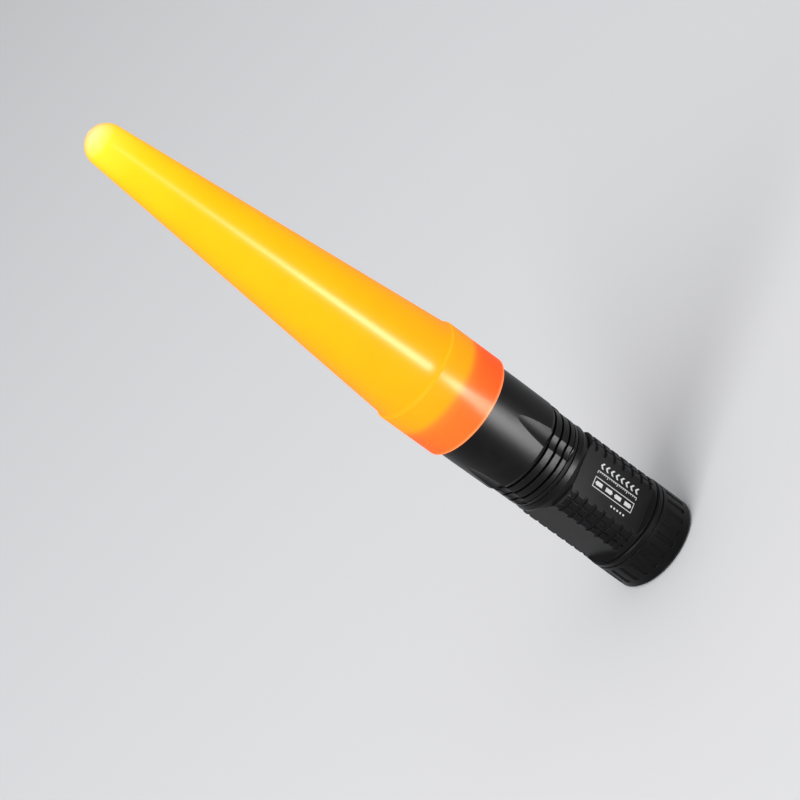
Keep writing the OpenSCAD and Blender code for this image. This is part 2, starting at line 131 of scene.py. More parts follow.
class Sheet:
    """Places and joins nodes in one node tree."""

    def __init__(self, tree: bpy.types.NodeTree) -> None:
        """Keeps the tree that the nodes go in."""
        self.tree = tree

    def put(self, kind: str, inputs: Mapping[Any, Any] | None = None, **settings: Any) -> bpy.types.Node:
        """Adds a node.

        Args:
            kind: the node's type, such as ShaderNodeMath.
            inputs: values or output sockets, by input name or number.
            settings: the node's own settings.

        Returns:
            The new node.
        """
        made = self.tree.nodes.new(kind)
        for name, value in settings.items():
            setattr(made, name, value)
        for key, value in (inputs or {}).items():
            socket = made.inputs[key]
            if isinstance(value, bpy.types.NodeSocket):
                self.tree.links.new(value, socket)
            else:
                socket.default_value = value
        return made

    def maths(self, operation: str, first: Any, second: Any = 0.0) -> bpy.types.NodeSocket:
        """Adds a Math node and returns its result."""
        return self.put("ShaderNodeMath", {0: first, 1: second}, operation=operation).outputs[0]

    def spread(self, value: Any, low: float, high: float) -> bpy.types.NodeSocket:
        """Maps a value of 0 to 1 onto the range from low to high."""
        return self.put("ShaderNodeMapRange", {"Value": value, "To Min": low, "To Max": high}).outputs[0]

    def ease(self, value: Any, low: float, high: float) -> bpy.types.NodeSocket:
        """Maps a value of low to high onto the range from 0 to 1."""
        return self.put("ShaderNodeMapRange", {"Value": value, "From Min": low, "From Max": high}).outputs[0]

    def noise(self, scale: Any, detail: float = 2.0, distortion: float = 0.0) -> bpy.types.NodeSocket:
        """Gives noise over the piece, with its scale in lumps per metre."""
        values = {"Vector": self.place(), "Scale": scale, "Detail": detail, "Distortion": distortion}
        return self.put("ShaderNodeTexNoise", values).outputs["Fac"]

    def bump(self, height: Any, below: Any, strength: float, distance: float) -> bpy.types.NodeSocket:
        """Raises a bump on the normals below it."""
        values = {"Height": height, "Normal": below, "Strength": strength, "Distance": distance}
        return self.put("ShaderNodeBump", values).outputs[0]

    def place(self) -> bpy.types.NodeSocket:
        """Gives the position in the piece's own frame, which is the torch's frame at rest."""
        return self.put("ShaderNodeTexCoord").outputs["Object"]

    def heights(self) -> bpy.types.NodeSocket:
        """Gives the height up the torch."""
        return self.put("ShaderNodeSeparateXYZ", {0: self.place()}).outputs["Z"]

    def blend(self, factor: Any, first: Any, second: Any) -> bpy.types.NodeSocket:
        """Mixes two colours, with a factor of 0 for the first and 1 for the second."""
        return self.put("ShaderNodeMix", {0: factor, 6: first, 7: second}, data_type="RGBA").outputs[2]

    def group(self, tree: bpy.types.NodeTree, inputs: Mapping[str, Any]) -> bpy.types.Node:
        """Places a shared group with its own values."""
        return self.put("ShaderNodeGroup", inputs, node_tree=tree)


class Effects:
    """The shared effects, each a node group that is built once."""

    @staticmethod
    def start(name: str, inputs: Mapping[str, float], outputs: Mapping[str, str]) -> tuple[Sheet, Any, Any]:
        """Makes an empty group with named sockets.

        Args:
            name: the group's name.
            inputs: number inputs and their defaults.
            outputs: output names and their kinds, Float, Color or Vector.

        Returns:
            The sheet to build on, the group's input node and its output node.
        """
        tree = bpy.data.node_groups.new(name, "ShaderNodeTree")
        for label, value in inputs.items():
            socket = tree.interface.new_socket(label, in_out="INPUT", socket_type="NodeSocketFloat")
            socket.default_value = value
        for label, kind in outputs.items():
            tree.interface.new_socket(label, in_out="OUTPUT", socket_type=f"NodeSocket{kind}")
        sheet = Sheet(tree)
        return sheet, sheet.put("NodeGroupInput"), sheet.put("NodeGroupOutput")

    @staticmethod
    @cache
    def grain() -> bpy.types.NodeTree:
        """Makes a fine even grain.

        Returns:
            A group with Scale, Roughness and Spread in, Roughness and Height out.
        """
        values = {"Scale": 3000.0, "Roughness": 0.4, "Spread": 0.1}
        sheet, given, result = Effects.start("grain", values, {"Roughness": "Float", "Height": "Float"})
        noise = sheet.noise(given.outputs["Scale"], 3.0)
        drift = sheet.maths("MULTIPLY", sheet.maths("SUBTRACT", noise, 0.5), given.outputs["Spread"])
        rough = sheet.maths("ADD", given.outputs["Roughness"], drift)
        sheet.tree.links.new(rough, result.inputs["Roughness"])
        sheet.tree.links.new(noise, result.inputs["Height"])
        return sheet.tree

    @staticmethod
    @cache
    def edges() -> bpy.types.NodeTree:
        """Breaks sharp edges.

        Returns:
            A group with Radius in, a rounded Normal and an Edge mask out.
        """
        outputs = {"Normal": "Vector", "Edge": "Float"}
        sheet, given, result = Effects.start("edges", {"Radius": 0.0002}, outputs)
        rounded = sheet.put("ShaderNodeBevel", {"Radius": given.outputs["Radius"]}, samples=6).outputs[0]
        flat = sheet.put("ShaderNodeNewGeometry").outputs["True Normal"]
        turn = sheet.put("ShaderNodeVectorMath", {0: rounded, 1: flat}, operation="DOT_PRODUCT")
        # edge mask; on the black body it carries wear and a painted edge highlight
        wear_and_glint_starts, wear_and_glint_ends = 0.985, 0.80
        edge = sheet.ease(turn.outputs["Value"], wear_and_glint_starts, wear_and_glint_ends)
        sheet.tree.links.new(rounded, result.inputs["Normal"])
        sheet.tree.links.new(edge, result.inputs["Edge"])
        return sheet.tree

    @staticmethod
    @cache
    def handling() -> bpy.types.NodeTree:
        """Makes soft smudges from fingers.

        Returns:
            A group with Scale in and a Smudge mask out.
        """
        sheet, given, result = Effects.start("handling", {"Scale": 60.0}, {"Smudge": "Float"})
        cloud = sheet.noise(given.outputs["Scale"], 4.0, 1.2)
        sheet.tree.links.new(sheet.ease(cloud, 0.45, 0.75), result.inputs["Smudge"])
        return sheet.tree

    @staticmethod
    @cache
    def turning() -> bpy.types.NodeTree:
        """Makes the fine rings that a lathe leaves about the torch's axis and on its faces.

        Returns:
            A group with Pitch in and Height out.
        """
        sheet, given, result = Effects.start("turning", {"Pitch": 0.0002}, {"Height": "Float"})
        part = sheet.put("ShaderNodeSeparateXYZ", {0: sheet.place()}).outputs
        squares = [sheet.maths("POWER", part[axis], 2.0) for axis in "XY"]
        radius = sheet.maths("SQRT", sheet.maths("ADD", *squares))
        along = sheet.maths("DIVIDE", sheet.maths("ADD", radius, part["Z"]), given.outputs["Pitch"])
        rings = sheet.put("ShaderNodeTexNoise", {"W": along, "Scale": 1.0}, noise_dimensions="1D")
        sheet.tree.links.new(rings.outputs["Fac"], result.inputs["Height"])
        return sheet.tree


# ---------------------------------------------------------------- finishes


@dataclass(frozen=True)
class Finish:
    """A plain finish with a fine grain.

    Attributes:
        name: the material's name.
        colour: base colour, linear.
        roughness: mean roughness.
        metallic: 1 for bare metal.
        grain: grain lines per metre.
        grain_depth: strength of the grain's bump.
        specular: specular level.
        edge: radius of the broken edges, or 0 for none.
        slot: a slot name, where it isn't the finish's own name; not used.
        smudges: smudges per metre.
        dulled: the part of the base colour that shows through a smudge.
    """

    name: str
    colour: Colour
    roughness: float = 0.5
    metallic: float = 0.0
    grain: float = 4000.0
    grain_depth: float = 0.05
    specular: float = 0.5
    edge: float = 0.15 * MM
    slot: str = ""
    smudges: float = 90.0
    dulled: float = 0.88

    def shader(self, sheet: Sheet) -> bpy.types.Node:
        """Adds the Principled shader with the values that are the same all over.

        Args:
            sheet: the material's sheet.

        Returns:
            The shader.
        """
        shader = sheet.put("ShaderNodeBsdfPrincipled")
        shader.inputs["Metallic"].default_value = self.metallic
        shader.inputs["Specular IOR Level"].default_value = self.specular
        sheet.put("ShaderNodeOutputMaterial", {"Surface": shader.outputs[0]})
        return shader

    def tint(self, sheet: Sheet, edge: bpy.types.NodeSocket) -> bpy.types.NodeSocket:
        """Gives the base colour with a slight drift over the surface.

        Args:
            sheet: the material's sheet.
            edge: the mask of its broken edges.

        Returns:
            The colour's socket.
        """
        smudge = sheet.group(Effects.handling(), {"Scale": self.smudges}).outputs["Smudge"]
        return sheet.blend(sheet.spread(smudge, 0.0, 1.0), self.colour, shaded(self.colour, self.dulled))

    def finish(self, sheet: Sheet, shader: bpy.types.Node) -> None:
        """Adds what only one kind of finish has."""

    @cache
    def build(self) -> bpy.types.Material:
        """Makes the material, once for each finish.

        Returns:
            The material.
        """
        made = bpy.data.materials.new(f"{self.name}_finish")
        made.use_nodes = True
        made.node_tree.nodes.clear()
        sheet = Sheet(made.node_tree)
        shader = self.shader(sheet)
        values = {"Scale": self.grain, "Roughness": self.roughness, "Spread": self.roughness * 0.35}
        grain = sheet.group(Effects.grain(), values)
        rounded = sheet.group(Effects.edges(), {"Radius": self.edge})
        normal = sheet.bump(grain.outputs["Height"], rounded.outputs["Normal"], self.grain_depth, 0.05 * MM)
        links = made.node_tree.links
        links.new(self.tint(sheet, rounded.outputs["Edge"]), shader.inputs["Base Color"])
        links.new(grain.outputs["Roughness"], shader.inputs["Roughness"])
        links.new(normal, shader.inputs["Normal"])
        self.finish(sheet, shader)
        made.diffuse_color = self.colour
        return made


@dataclass(frozen=True)
class Paper(Finish):
    """Plain even backdrop paper.

    Attributes:
        fibres: fibres per metre.
        dulled: the part of the base colour that its darkest fibres have.
    """

    fibres: float = 1500.0
    dulled: float = 0.99

    def tint(self, sheet: Sheet, edge: bpy.types.NodeSocket) -> bpy.types.NodeSocket:
        """Gives one colour with the faintest fibre."""
        return sheet.blend(sheet.noise(self.fibres), self.colour, shaded(self.colour, self.dulled))


@dataclass(frozen=True)
class Anodised(Finish):
    """Black hard-anodised aluminium, a little greyer where hands rub, and grey on its edges, partly from wear
    and partly as a painted edge highlight.

    Attributes:
        handled: its colour where fingers have been.
        wear_and_glint: its colour on the edges, partly wear and partly a painted edge highlight.
        smudges: smudges per metre.
        specks: grey specks per metre along the edges, partly wear and partly painted edge highlight.
    """

    handled: Colour = srgb(22, 22, 24)
    wear_and_glint: Colour = srgb(96, 96, 98)
    smudges: float = 70.0
    specks: float = 700.0

    def tint(self, sheet: Sheet, edge: bpy.types.NodeSocket) -> bpy.types.NodeSocket:
        """Gives black with a trace of grey on the edges, partly wear and partly a painted edge highlight.

        Args:
            sheet: the material's sheet.
            edge: the mask of its broken edges, where the wear and the painted edge highlight show.

        Returns:
            The colour's socket.
        """
        smudge = sheet.group(Effects.handling(), {"Scale": self.smudges}).outputs["Smudge"]
        handled = sheet.blend(sheet.spread(smudge, 0.0, 0.5), self.colour, self.handled)
        # grey on the edges: partly wear, partly a painted edge highlight
        broken = sheet.spread(sheet.ease(sheet.noise(self.specks, 5.0), 0.45, 0.7), 0.05, 0.5)
        return sheet.blend(sheet.maths("MULTIPLY", edge, broken), handled, self.wear_and_glint)


@dataclass(frozen=True)
class Turned(Finish):
    """Bare metal with fine lathe rings.

    Attributes:
        pitch: the rings' spacing.
        depth: their depth.
    """

    pitch: float = 0.25 * MM
    depth: float = 0.02 * MM

    def finish(self, sheet: Sheet, shader: bpy.types.Node) -> None:
        """Lays the rings over the grain.

        Args:
            sheet: the material's sheet.
            shader: its shader.
        """
        rings = sheet.group(Effects.turning(), {"Pitch": self.pitch}).outputs["Height"]
        below = shader.inputs["Normal"].links[0].from_socket
        sheet.tree.links.new(sheet.bump(rings, below, 0.25, self.depth), shader.inputs["Normal"])


@dataclass(frozen=True)
class Clear(Finish):
    """Clear glass or silicone."""

    def finish(self, sheet: Sheet, shader: bpy.types.Node) -> None:
        """Lets the light through."""
        shader.inputs["Transmission Weight"].default_value = 1.0
        shader.inputs["IOR"].default_value = 1.5


@dataclass(frozen=True)
class Lit(Finish):
    """A surface that gives light of its own colour.

    Attributes:
        strength: how bright it is.
    """

    strength: float = 4.0

    def finish(self, sheet: Sheet, shader: bpy.types.Node) -> None:
        """Switches the light on."""
        shader.inputs["Emission Color"].default_value = self.colour
        shader.inputs["Emission Strength"].default_value = self.strength


@dataclass(frozen=True)
class Glow(Finish):
    """The lit wand: the torch's light through milky orange plastic, painted on as a glow that varies by
    height.

    Attributes:
        bottom: height of the wand's mouth.
        top: height of the wand's tip.
        stops: heights in metres, in rising order, and the painted glow's colour at each.
        tints: the same for the plastic's own colour.
        skin: what the wall's clear outer skin lets through.
        skin_roughness: how far the skin blurs it.
        skin_ior: the skin's bending of light, near 1 as it has no gloss of its own.
        clouds: cloudy lumps in the wall per metre.
        cloudy: what the cloudiest places let through.
    """

    bottom: float = 0.0
    top: float = 1.0
    stops: tuple[tuple[float, Colour], ...] = ()
    tints: tuple[tuple[float, Colour], ...] = ()
    skin: Colour = (0.98, 0.84, 0.7, 1.0)
    skin_roughness: float = 0.3
    skin_ior: float = 1.02
    clouds: float = 90.0
    cloudy: tuple[float, float, float] = (0.94, 0.88, 0.8)

    def ramp(self, sheet: Sheet, stops: Sequence[tuple[float, Colour]]) -> bpy.types.NodeSocket:
        """Colours the wand by height.

        Args:
            sheet: the material's sheet.
            stops: heights in metres, in rising order, and the colour at each.

        Returns:
            The colour.
        """
        along = sheet.ease(sheet.heights(), self.bottom, self.top)
        ramp = sheet.put("ShaderNodeValToRGB", {0: along})
        points = ramp.color_ramp.elements
        points.remove(points[1])
        for i, (height, colour) in enumerate(stops):
            where = (height - self.bottom) / (self.top - self.bottom)
            point = points[0] if i == 0 else points.new(where)
            point.position = where
            point.color = tuple(part / clear for part, clear in zip(colour, self.skin))
        return ramp.outputs[0]

    def tint(self, sheet: Sheet, edge: bpy.types.NodeSocket) -> bpy.types.NodeSocket:
        """Gives the plastic's own colour."""
        return self.ramp(sheet, self.tints)

    def finish(self, sheet: Sheet, shader: bpy.types.Node) -> None:
        """Paints the glow by its height, with faint clouds where the wall's milkiness varies.

        Args:
            sheet: the material's sheet.
            shader: its shader.
        """
        # painted light: the torch's glow in the wall, by height
        light = self.ramp(sheet, self.stops)
        dim = sheet.put("ShaderNodeVectorMath", {0: light, 1: self.cloudy}, operation="MULTIPLY").outputs[0]
        mixed = sheet.blend(sheet.noise(self.clouds), light, dim)
        sheet.tree.links.new(mixed, shader.inputs["Emission Color"])
        shader.inputs["Emission Strength"].default_value = 1.0
        shader.inputs["Coat Weight"].default_value = 1.0
        shader.inputs["Coat Roughness"].default_value = self.skin_roughness
        shader.inputs["Coat IOR"].default_value = self.skin_ior
        shader.inputs["Coat Tint"].default_value = self.skin


@dataclass(frozen=True)
class Board(Finish):
    """A circuit board: green mask with fine copper tracks showing through.

    Attributes:
        tracks: how fine the tracks are.
        width: their width, as a part of their spacing.
        copper: the mask's colour over them.
    """

    tracks: float = 320.0
    width: float = 0.16
    copper: Colour = srgb(48, 130, 74)

    def tint(self, sheet: Sheet, edge: bpy.types.NodeSocket) -> bpy.types.NodeSocket:
        """Gives the mask's colour, lighter over the tracks.

        Args:
            sheet: the material's sheet.
            edge: the mask of its broken edges, not used.

        Returns:
            The colour's socket.
        """
        values = {"Vector": sheet.place(), "Scale": self.tracks, "Mortar Size": self.width}
        tracks = sheet.put("ShaderNodeTexBrick", values).outputs["Fac"]
        return sheet.blend(sheet.spread(tracks, 0.0, 0.6), self.colour, self.copper)


@dataclass(frozen=True)
class Sleeve(Finish):
    """A cell's shrunk-on sleeve: a light band at one end of a plain colour.

    Attributes:
        start: height of the end with the band.
        end: height of the other end.
        band: the band's part of the length.
        pale: the band's colour.
    """

    start: float = 0.0
    end: float = 1.0
    band: float = 0.2
    pale: Colour = srgb(200, 205, 205)

    def tint(self, sheet: Sheet, edge: bpy.types.NodeSocket) -> bpy.types.NodeSocket:
        """Gives the sleeve's two colours.

        Args:
            sheet: the material's sheet.
            edge: the mask of its broken edges, not used.

        Returns:
            The colour's socket.
        """
        ramp = sheet.put("ShaderNodeValToRGB", {0: sheet.ease(sheet.heights(), self.start, self.end)})
        points = ramp.color_ramp.elements
        ramp.color_ramp.interpolation = "CONSTANT"
        points[0].color = self.pale
        points[1].position = self.band
        points[1].color = self.colour
        return ramp.outputs[0]


BLACK = Anodised("black_anodised", srgb(8, 8, 9), roughness=0.38, grain=5200, grain_depth=0.2,
                 specular=0.12, edge=0.0003)
BEZEL = Turned("bezel_black", srgb(24, 24, 26), roughness=0.28, edge=0.0002)
GLASS = Clear("coated_glass", (0.93, 0.97, 1.0, 1.0), roughness=0.02, grain_depth=0.0)
RUBBER = Finish("black_rubber", srgb(24, 24, 25), roughness=0.65, grain=2600, grain_depth=0.2, specular=0.2)
MIRROR = Finish("mirror_coat", (0.93, 0.93, 0.94, 1), roughness=0.06, metallic=1, grain=900, grain_depth=0.25)
NYLON = Finish("white_nylon", srgb(228, 226, 220), roughness=0.45)
MARKING = Finish("white_marking", srgb(226, 226, 224), roughness=0.5, grain=9000, grain_depth=0.1,
                 edge=0.00001, slot="white_nylon")
ALUMINIUM = Turned("bare_aluminium", srgb(205, 205, 208), roughness=0.28, metallic=1)
CERAMIC = Finish("led_ceramic", srgb(236, 234, 226), roughness=0.35)
PHOSPHOR = Lit("led_phosphor", srgb(255, 232, 120), roughness=0.2, strength=3.0)
STEEL = Turned("plain_steel", srgb(176, 178, 182), roughness=0.3, metallic=1)
SPRING = Finish("spring_steel", srgb(200, 200, 204), roughness=0.18, metallic=1, grain=6000)
BRASS = Turned("turned_brass", srgb(214, 176, 96), roughness=0.22, metallic=1)
CIRCUIT = Board("circuit_board", srgb(22, 84, 44), roughness=0.32)
CHIP = Finish("chip_black", srgb(30, 30, 32), roughness=0.5, grain=7000, grain_depth=0.2)
FERRITE = Finish("ferrite", srgb(66, 66, 70), roughness=0.55)
TAN = Finish("capacitor_body", srgb(176, 142, 96), roughness=0.4)
RED_WIRE = Finish("wire_red", srgb(196, 34, 28), roughness=0.42)
BLACK_WIRE = Finish("wire_black", srgb(30, 30, 30), roughness=0.42)
YELLOW_WIRE = Finish("wire_yellow", srgb(214, 186, 50), roughness=0.42)
BUTTON = Finish("button_black", srgb(22, 22, 24), roughness=0.5, grain=3600, grain_depth=0.3,
                specular=0.2, edge=0.0003)
KEY = Finish("key_nylon", srgb(222, 214, 190), roughness=0.45)
CAN = Finish("cell_can", srgb(196, 198, 202), roughness=0.25, metallic=1)
COPPER = Finish("copper_wire", srgb(190, 96, 52), roughness=0.25, metallic=1, slot="turned_brass")
SOLDER = Finish("solder", srgb(190, 192, 196), roughness=0.2, metallic=1, slot="plain_steel")
SILICONE = Clear("clear_silicone", (1.0, 0.98, 0.9, 1.0), roughness=0.05, grain_depth=0.0,
                 slot="led_phosphor")


# ---------------------------------------------------------------- mesh makers


class Maker:
    """Builds meshes in code and settles them on their body."""

    @staticmethod
    def piece(name: str, shape: bmesh.types.BMesh, finish: Finish, body: Body,
              replaces: Sequence[str] = (), smooth: float = 40.0) -> bpy.types.Object:
        """Turns a bmesh into a finished piece.

        Args:
            name: the piece's name.
            shape: its mesh, which this call frees.
            finish: its finish, whose material it gets.
            body: the body it rides on.
            replaces: the solids that it stands for.
            smooth: the angle in degrees above which an edge stays sharp.

        Returns:
            The new object.
        """
        bmesh.ops.recalc_face_normals(shape, faces=shape.faces)
        mesh = bpy.data.meshes.new(name)
        shape.to_mesh(mesh)
        shape.free()
        mesh.shade_smooth()
        mesh.set_sharp_from_angle(angle=math.radians(smooth))
        mesh.materials.append(finish.build())
        made = bpy.data.objects.new(name, mesh)
        bpy.context.scene.collection.objects.link(made)
        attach(made, body.value)
        if replaces:
            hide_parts(*replaces)
        LOG.info("%s: %d faces on %s", name, len(mesh.polygons), body.value)
        return made

    @staticmethod
    def lathe(shape: bmesh.types.BMesh, profile: Sequence[Point2], segments: int = 96,
              place: Matrix = Matrix.Identity(4)) -> None:
        """Turns a closed outline about the Z axis into a solid.

        Args:
            shape: the bmesh to add to.
            profile: (radius, height) points round the section; a radius of 0 is on the axis.
            segments: steps round the axis.
            place: where the turned solid goes.
        """
        rings = []
        for radius, height in profile:
            if radius < ON_AXIS:
                rings.append([shape.verts.new(place @ Vector((0, 0, height)))] * segments)
                continue
            rings.append([
                shape.verts.new(place @ Vector((radius * math.cos(a), radius * math.sin(a), height)))
                for a in (2 * math.pi * k / segments for k in range(segments))
            ])
        for here, there in zip(rings, rings[1:] + rings[:1]):
            for k in range(segments):
                corners = [here[k], here[(k + 1) % segments], there[(k + 1) % segments], there[k]]
                kept = [v for i, v in enumerate(corners) if v not in corners[:i]]
                if len(kept) > 2:
                    shape.faces.new(kept)

    @staticmethod
    def tube(shape: bmesh.types.BMesh, path: Sequence[Vector], radius: float, sides: int = 12) -> None:
        """Sweeps a round wire along a path.

        Args:
            shape: the bmesh to add to.
            path: the points of the wire's middle.
            radius: the wire's radius.
            sides: sides of its section.
        """
        ahead = (path[1] - path[0]).normalized()
        side = ahead.orthogonal().normalized()
        rings = []
        for i, point in enumerate(path):
            towards = (path[min(i + 1, len(path) - 1)] - path[max(i - 1, 0)]).normalized()
            side = (side - towards * side.dot(towards)).normalized()
            other = towards.cross(side)
            rings.append([
                shape.verts.new(point + radius * (side * math.cos(a) + other * math.sin(a)))
                for a in (2 * math.pi * k / sides for k in range(sides))
            ])
        for here, there in zip(rings, rings[1:]):
            for k in range(sides):
                m = (k + 1) % sides
                shape.faces.new([here[k], here[m], there[m], there[k]])
        shape.faces.new(list(reversed(rings[0])))
        shape.faces.new(rings[-1])

    @staticmethod
    def plate(shape: bmesh.types.BMesh, outline: Sequence[Point2], thickness: float, place: Matrix) -> None:
        """Raises a flat outline into a thin plate.

        Args:
            shape: the bmesh to add to.
            outline: its corners in order.
            thickness: how far it rises along its own Z.
            place: where it goes.
        """
        low = [shape.verts.new(place @ Vector((x, y, 0))) for x, y in outline]
        high = [shape.verts.new(place @ Vector((x, y, thickness))) for x, y in outline]
        shape.faces.new(list(reversed(low)))
        shape.faces.new(high)
        for i in range(len(outline)):
            j = (i + 1) % len(outline)
            shape.faces.new([low[i], low[j], high[j], high[i]])

    @staticmethod
    def rounded(profile: Sequence[Point2], radius: float, steps: int = 4) -> list[Point2]:
        """Rounds the corners of a closed outline.

        Args:
            profile: its corners in order.
            radius: how far each corner is cut back along its sides.
            steps: points on each corner.

        Returns:
            The outline with each corner drawn as a curve. Corners on the axis stay.
        """
        out: list[Point2] = []
        count = len(profile)
        for i, corner in enumerate(profile):
            here = Vector(corner)
            if here.x < ON_AXIS:
                out.append(corner)
                continue
            before, after = Vector(profile[i - 1]) - here, Vector(profile[(i + 1) % count]) - here
            cut = min(radius, before.length * 0.45, after.length * 0.45)
            start, end = here + before.normalized() * cut, here + after.normalized() * cut
            for k in range(steps + 1):
                t = k / steps
                spot = start.lerp(here, t).lerp(here.lerp(end, t), t)
                out.append((spot.x, spot.y))
        return out


def arc(centre: Point2, radius: float, start: float, end: float, steps: int) -> list[Point2]:
    """Draws an arc.

    Args:
        centre: its centre.
        radius: its radius.
        start: its first angle in degrees.
        end: its last angle.
        steps: how many steps it takes.

    Returns:
        Its points, one more than its steps.
    """
    angles = [math.radians(start + (end - start) * k / steps) for k in range(steps + 1)]
    return [(centre[0] + radius * math.cos(a), centre[1] + radius * math.sin(a)) for a in angles]


def dress(**looks: Finish) -> None:
    """Gives solids that keep their shape a better material.

    Args:
        looks: each solid's finish, by the solid's name.
    """
    for name, finish in looks.items():
        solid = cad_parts[name]
        solid.data.materials.clear()
        solid.data.materials.append(finish.build())
        LOG.info("%s: dressed in %s", name, finish.name)


def facing_x(height: float) -> Matrix:
    """Stands a shape that was made on Z out along +X at a height."""
    return Matrix.Translation((0, 0, height)) @ Matrix.Rotation(math.radians(90), 4, "Y")


# ---------------------------------------------------------------- sub-assemblies


@dataclass
class Wand:
    """The translucent wand that pushes onto the torch's head.

    Attributes:
        shoulder_mm: length of the collar, from the mouth to the shoulder.
        cone_r_mm: the cone's radius at its root.
        tip_r_mm: radius of the domed tip.
        wall_mm: thickness of the cone's wall.
        bore_r_mm: the collar's bore.
        seat_mm: gap between the torch's front face and the step in the bore.
        step_mm: width and height of the slope inside that step.
        lip_mm: rounding of the collar's ends.
        draft_mm: how far the collar narrows towards its shoulder.
        root_mm: height of the fillet between the shoulder and the cone.
        gate_r_mm: radius of the moulding gate's mark in the tip.
        gate_mm: its depth.
        rows: rings of faces up the cone.
    """

    shoulder_mm: float = 25.8
    cone_r_mm: float = 20.9
    tip_r_mm: float = 8.05
    wall_mm: float = 1.6
    bore_r_mm: float = 20.1
    seat_mm: float = 0.2
    step_mm: Point2 = (0.2, 0.3)
    lip_mm: float = 0.35
    draft_mm: float = 0.05
    root_mm: float = 0.3
    gate_r_mm: float = 1.4
    gate_mm: float = 0.12
    rows: int = 30

    def outline(self) -> list[Point2]:
        """Works out the wall's section from the wand's box and the torch's front face.

        Returns:
            The (radius, height) points round the section.
        """
        low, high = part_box("wand_diffuser")
        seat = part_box("bezel_ring")[1].z + self.seat_mm * MM
        mouth_r, lip = high.x, self.lip_mm * MM
        tip_r, wall, cone_r, bore_r = metres(self.tip_r_mm, self.wall_mm, self.cone_r_mm, self.bore_r_mm)
        shoulder, centre = low.z + self.shoulder_mm * MM, high.z - tip_r
        root = shoulder + self.root_mm * MM
        slope = math.atan2(cone_r, centre - root) - math.asin(tip_r / math.hypot(cone_r, centre - root))
        lean, gate = math.degrees(slope), math.degrees(math.acos(self.gate_r_mm * MM / tip_r))
        collar = [
            (bore_r + lip, low.z), (mouth_r - lip, low.z), (mouth_r, low.z + lip),
            (mouth_r - self.draft_mm * MM, shoulder - lip),
        ]
        rounding = [(mouth_r - 0.12 * MM, shoulder - lip * 0.45), (mouth_r - lip * 0.8, shoulder)]
        fillet = [
            (cone_r + 0.28 * MM, shoulder + 0.04 * MM), (cone_r + 0.08 * MM, shoulder + 0.14 * MM),
            (cone_r, root),
        ]
        dome = arc((0, centre), tip_r, lean, gate, 22)
        run, rise = dome[0][0] - cone_r, dome[0][1] - root
        cone = [(cone_r + run * k / self.rows, root + rise * k / self.rows) for k in range(1, self.rows)]
        gate_z = dome[-1][1] - self.gate_mm * MM
        tip = [(self.gate_r_mm * MM * 0.9, gate_z), (0.0, gate_z)]
        inner = arc((0, centre), tip_r - wall, 90, lean, 14)
        inside, (step_out, step_up) = cone_r - wall, metres(*self.step_mm)
        bore = [
            (inside, shoulder), (inside, seat + step_up), (inside + step_out, seat),
            (bore_r, seat), (bore_r, low.z + lip),
        ]
        return collar + rounding + fillet + cone + dome + tip + inner + bore

    def glow(self) -> Glow:
        """Paints the wand's glow: a painted highlight on the mouth's rim, dim red over the head where little
        light reaches, a brighter painted band at the shoulder, orange up the cone and pale yellow in the
        dome.

        Returns:
            The finish.
        """
        low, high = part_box("wand_diffuser")
        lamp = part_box("bezel_ring")[1].z
        shoulder, dome = low.z + self.shoulder_mm * MM, high.z - self.tip_r_mm * MM
        root, length = shoulder + self.root_mm * MM, dome - shoulder
        return Glow(
            "wand_orange", srgb(255, 132, 20), roughness=0.27, grain=1500, grain_depth=0.02, edge=0.00002,
            specular=0.11, bottom=low.z, top=high.z,
            stops=(
                # painted light: a painted highlight on the mouth's rim, dim red below the lamp's face, a
                # brighter painted band at the shoulder's step
                (low.z + 0.5 * MM, (0.95, 0.36, 0.20, 1)), (low.z + 0.9 * MM, (0.68, 0.025, 0.01, 1)),
                (lamp - 5 * MM, (0.70, 0.04, 0.01, 1)), (lamp - 1.8 * MM, (0.70, 0.09, 0.01, 1)),
                (lamp + 1.0 * MM, (0.74, 0.36, 0.006, 1)), (shoulder - 0.4 * MM, (0.74, 0.40, 0.006, 1)),
                (shoulder + 0.05 * MM, (0.84, 0.52, 0.02, 1)), (root + 0.2 * MM, (0.74, 0.42, 0.004, 1)),
                (shoulder + 0.35 * length, (0.80, 0.49, 0.002, 1)),
                (shoulder + 0.75 * length, (0.84, 0.57, 0.003, 1)),
                (shoulder + 0.93 * length, (0.86, 0.70, 0.010, 1)), (dome + 2 * MM, (0.90, 0.87, 0.04, 1)),
                (dome + 5 * MM, (0.95, 0.95, 0.22, 1)), (high.z, (1.0, 0.98, 0.55, 1)),
            ),
            tints=(
                (low.z, (0.90, 0.17, 0.02, 1)), (lamp - 1.2 * MM, (0.88, 0.18, 0.02, 1)),
                (lamp + 1.0 * MM, (0.5, 0.14, 0.004, 1)), (high.z, (0.5, 0.16, 0.004, 1)),
            ),
        )

    def build(self) -> None:
        """Makes the wand and paints its glow."""
        shape = bmesh.new()
        Maker.lathe(shape, self.outline(), 192)
        Maker.piece("wand_shell", shape, self.glow(), Body.WAND, ["wand_diffuser"], smooth=28)


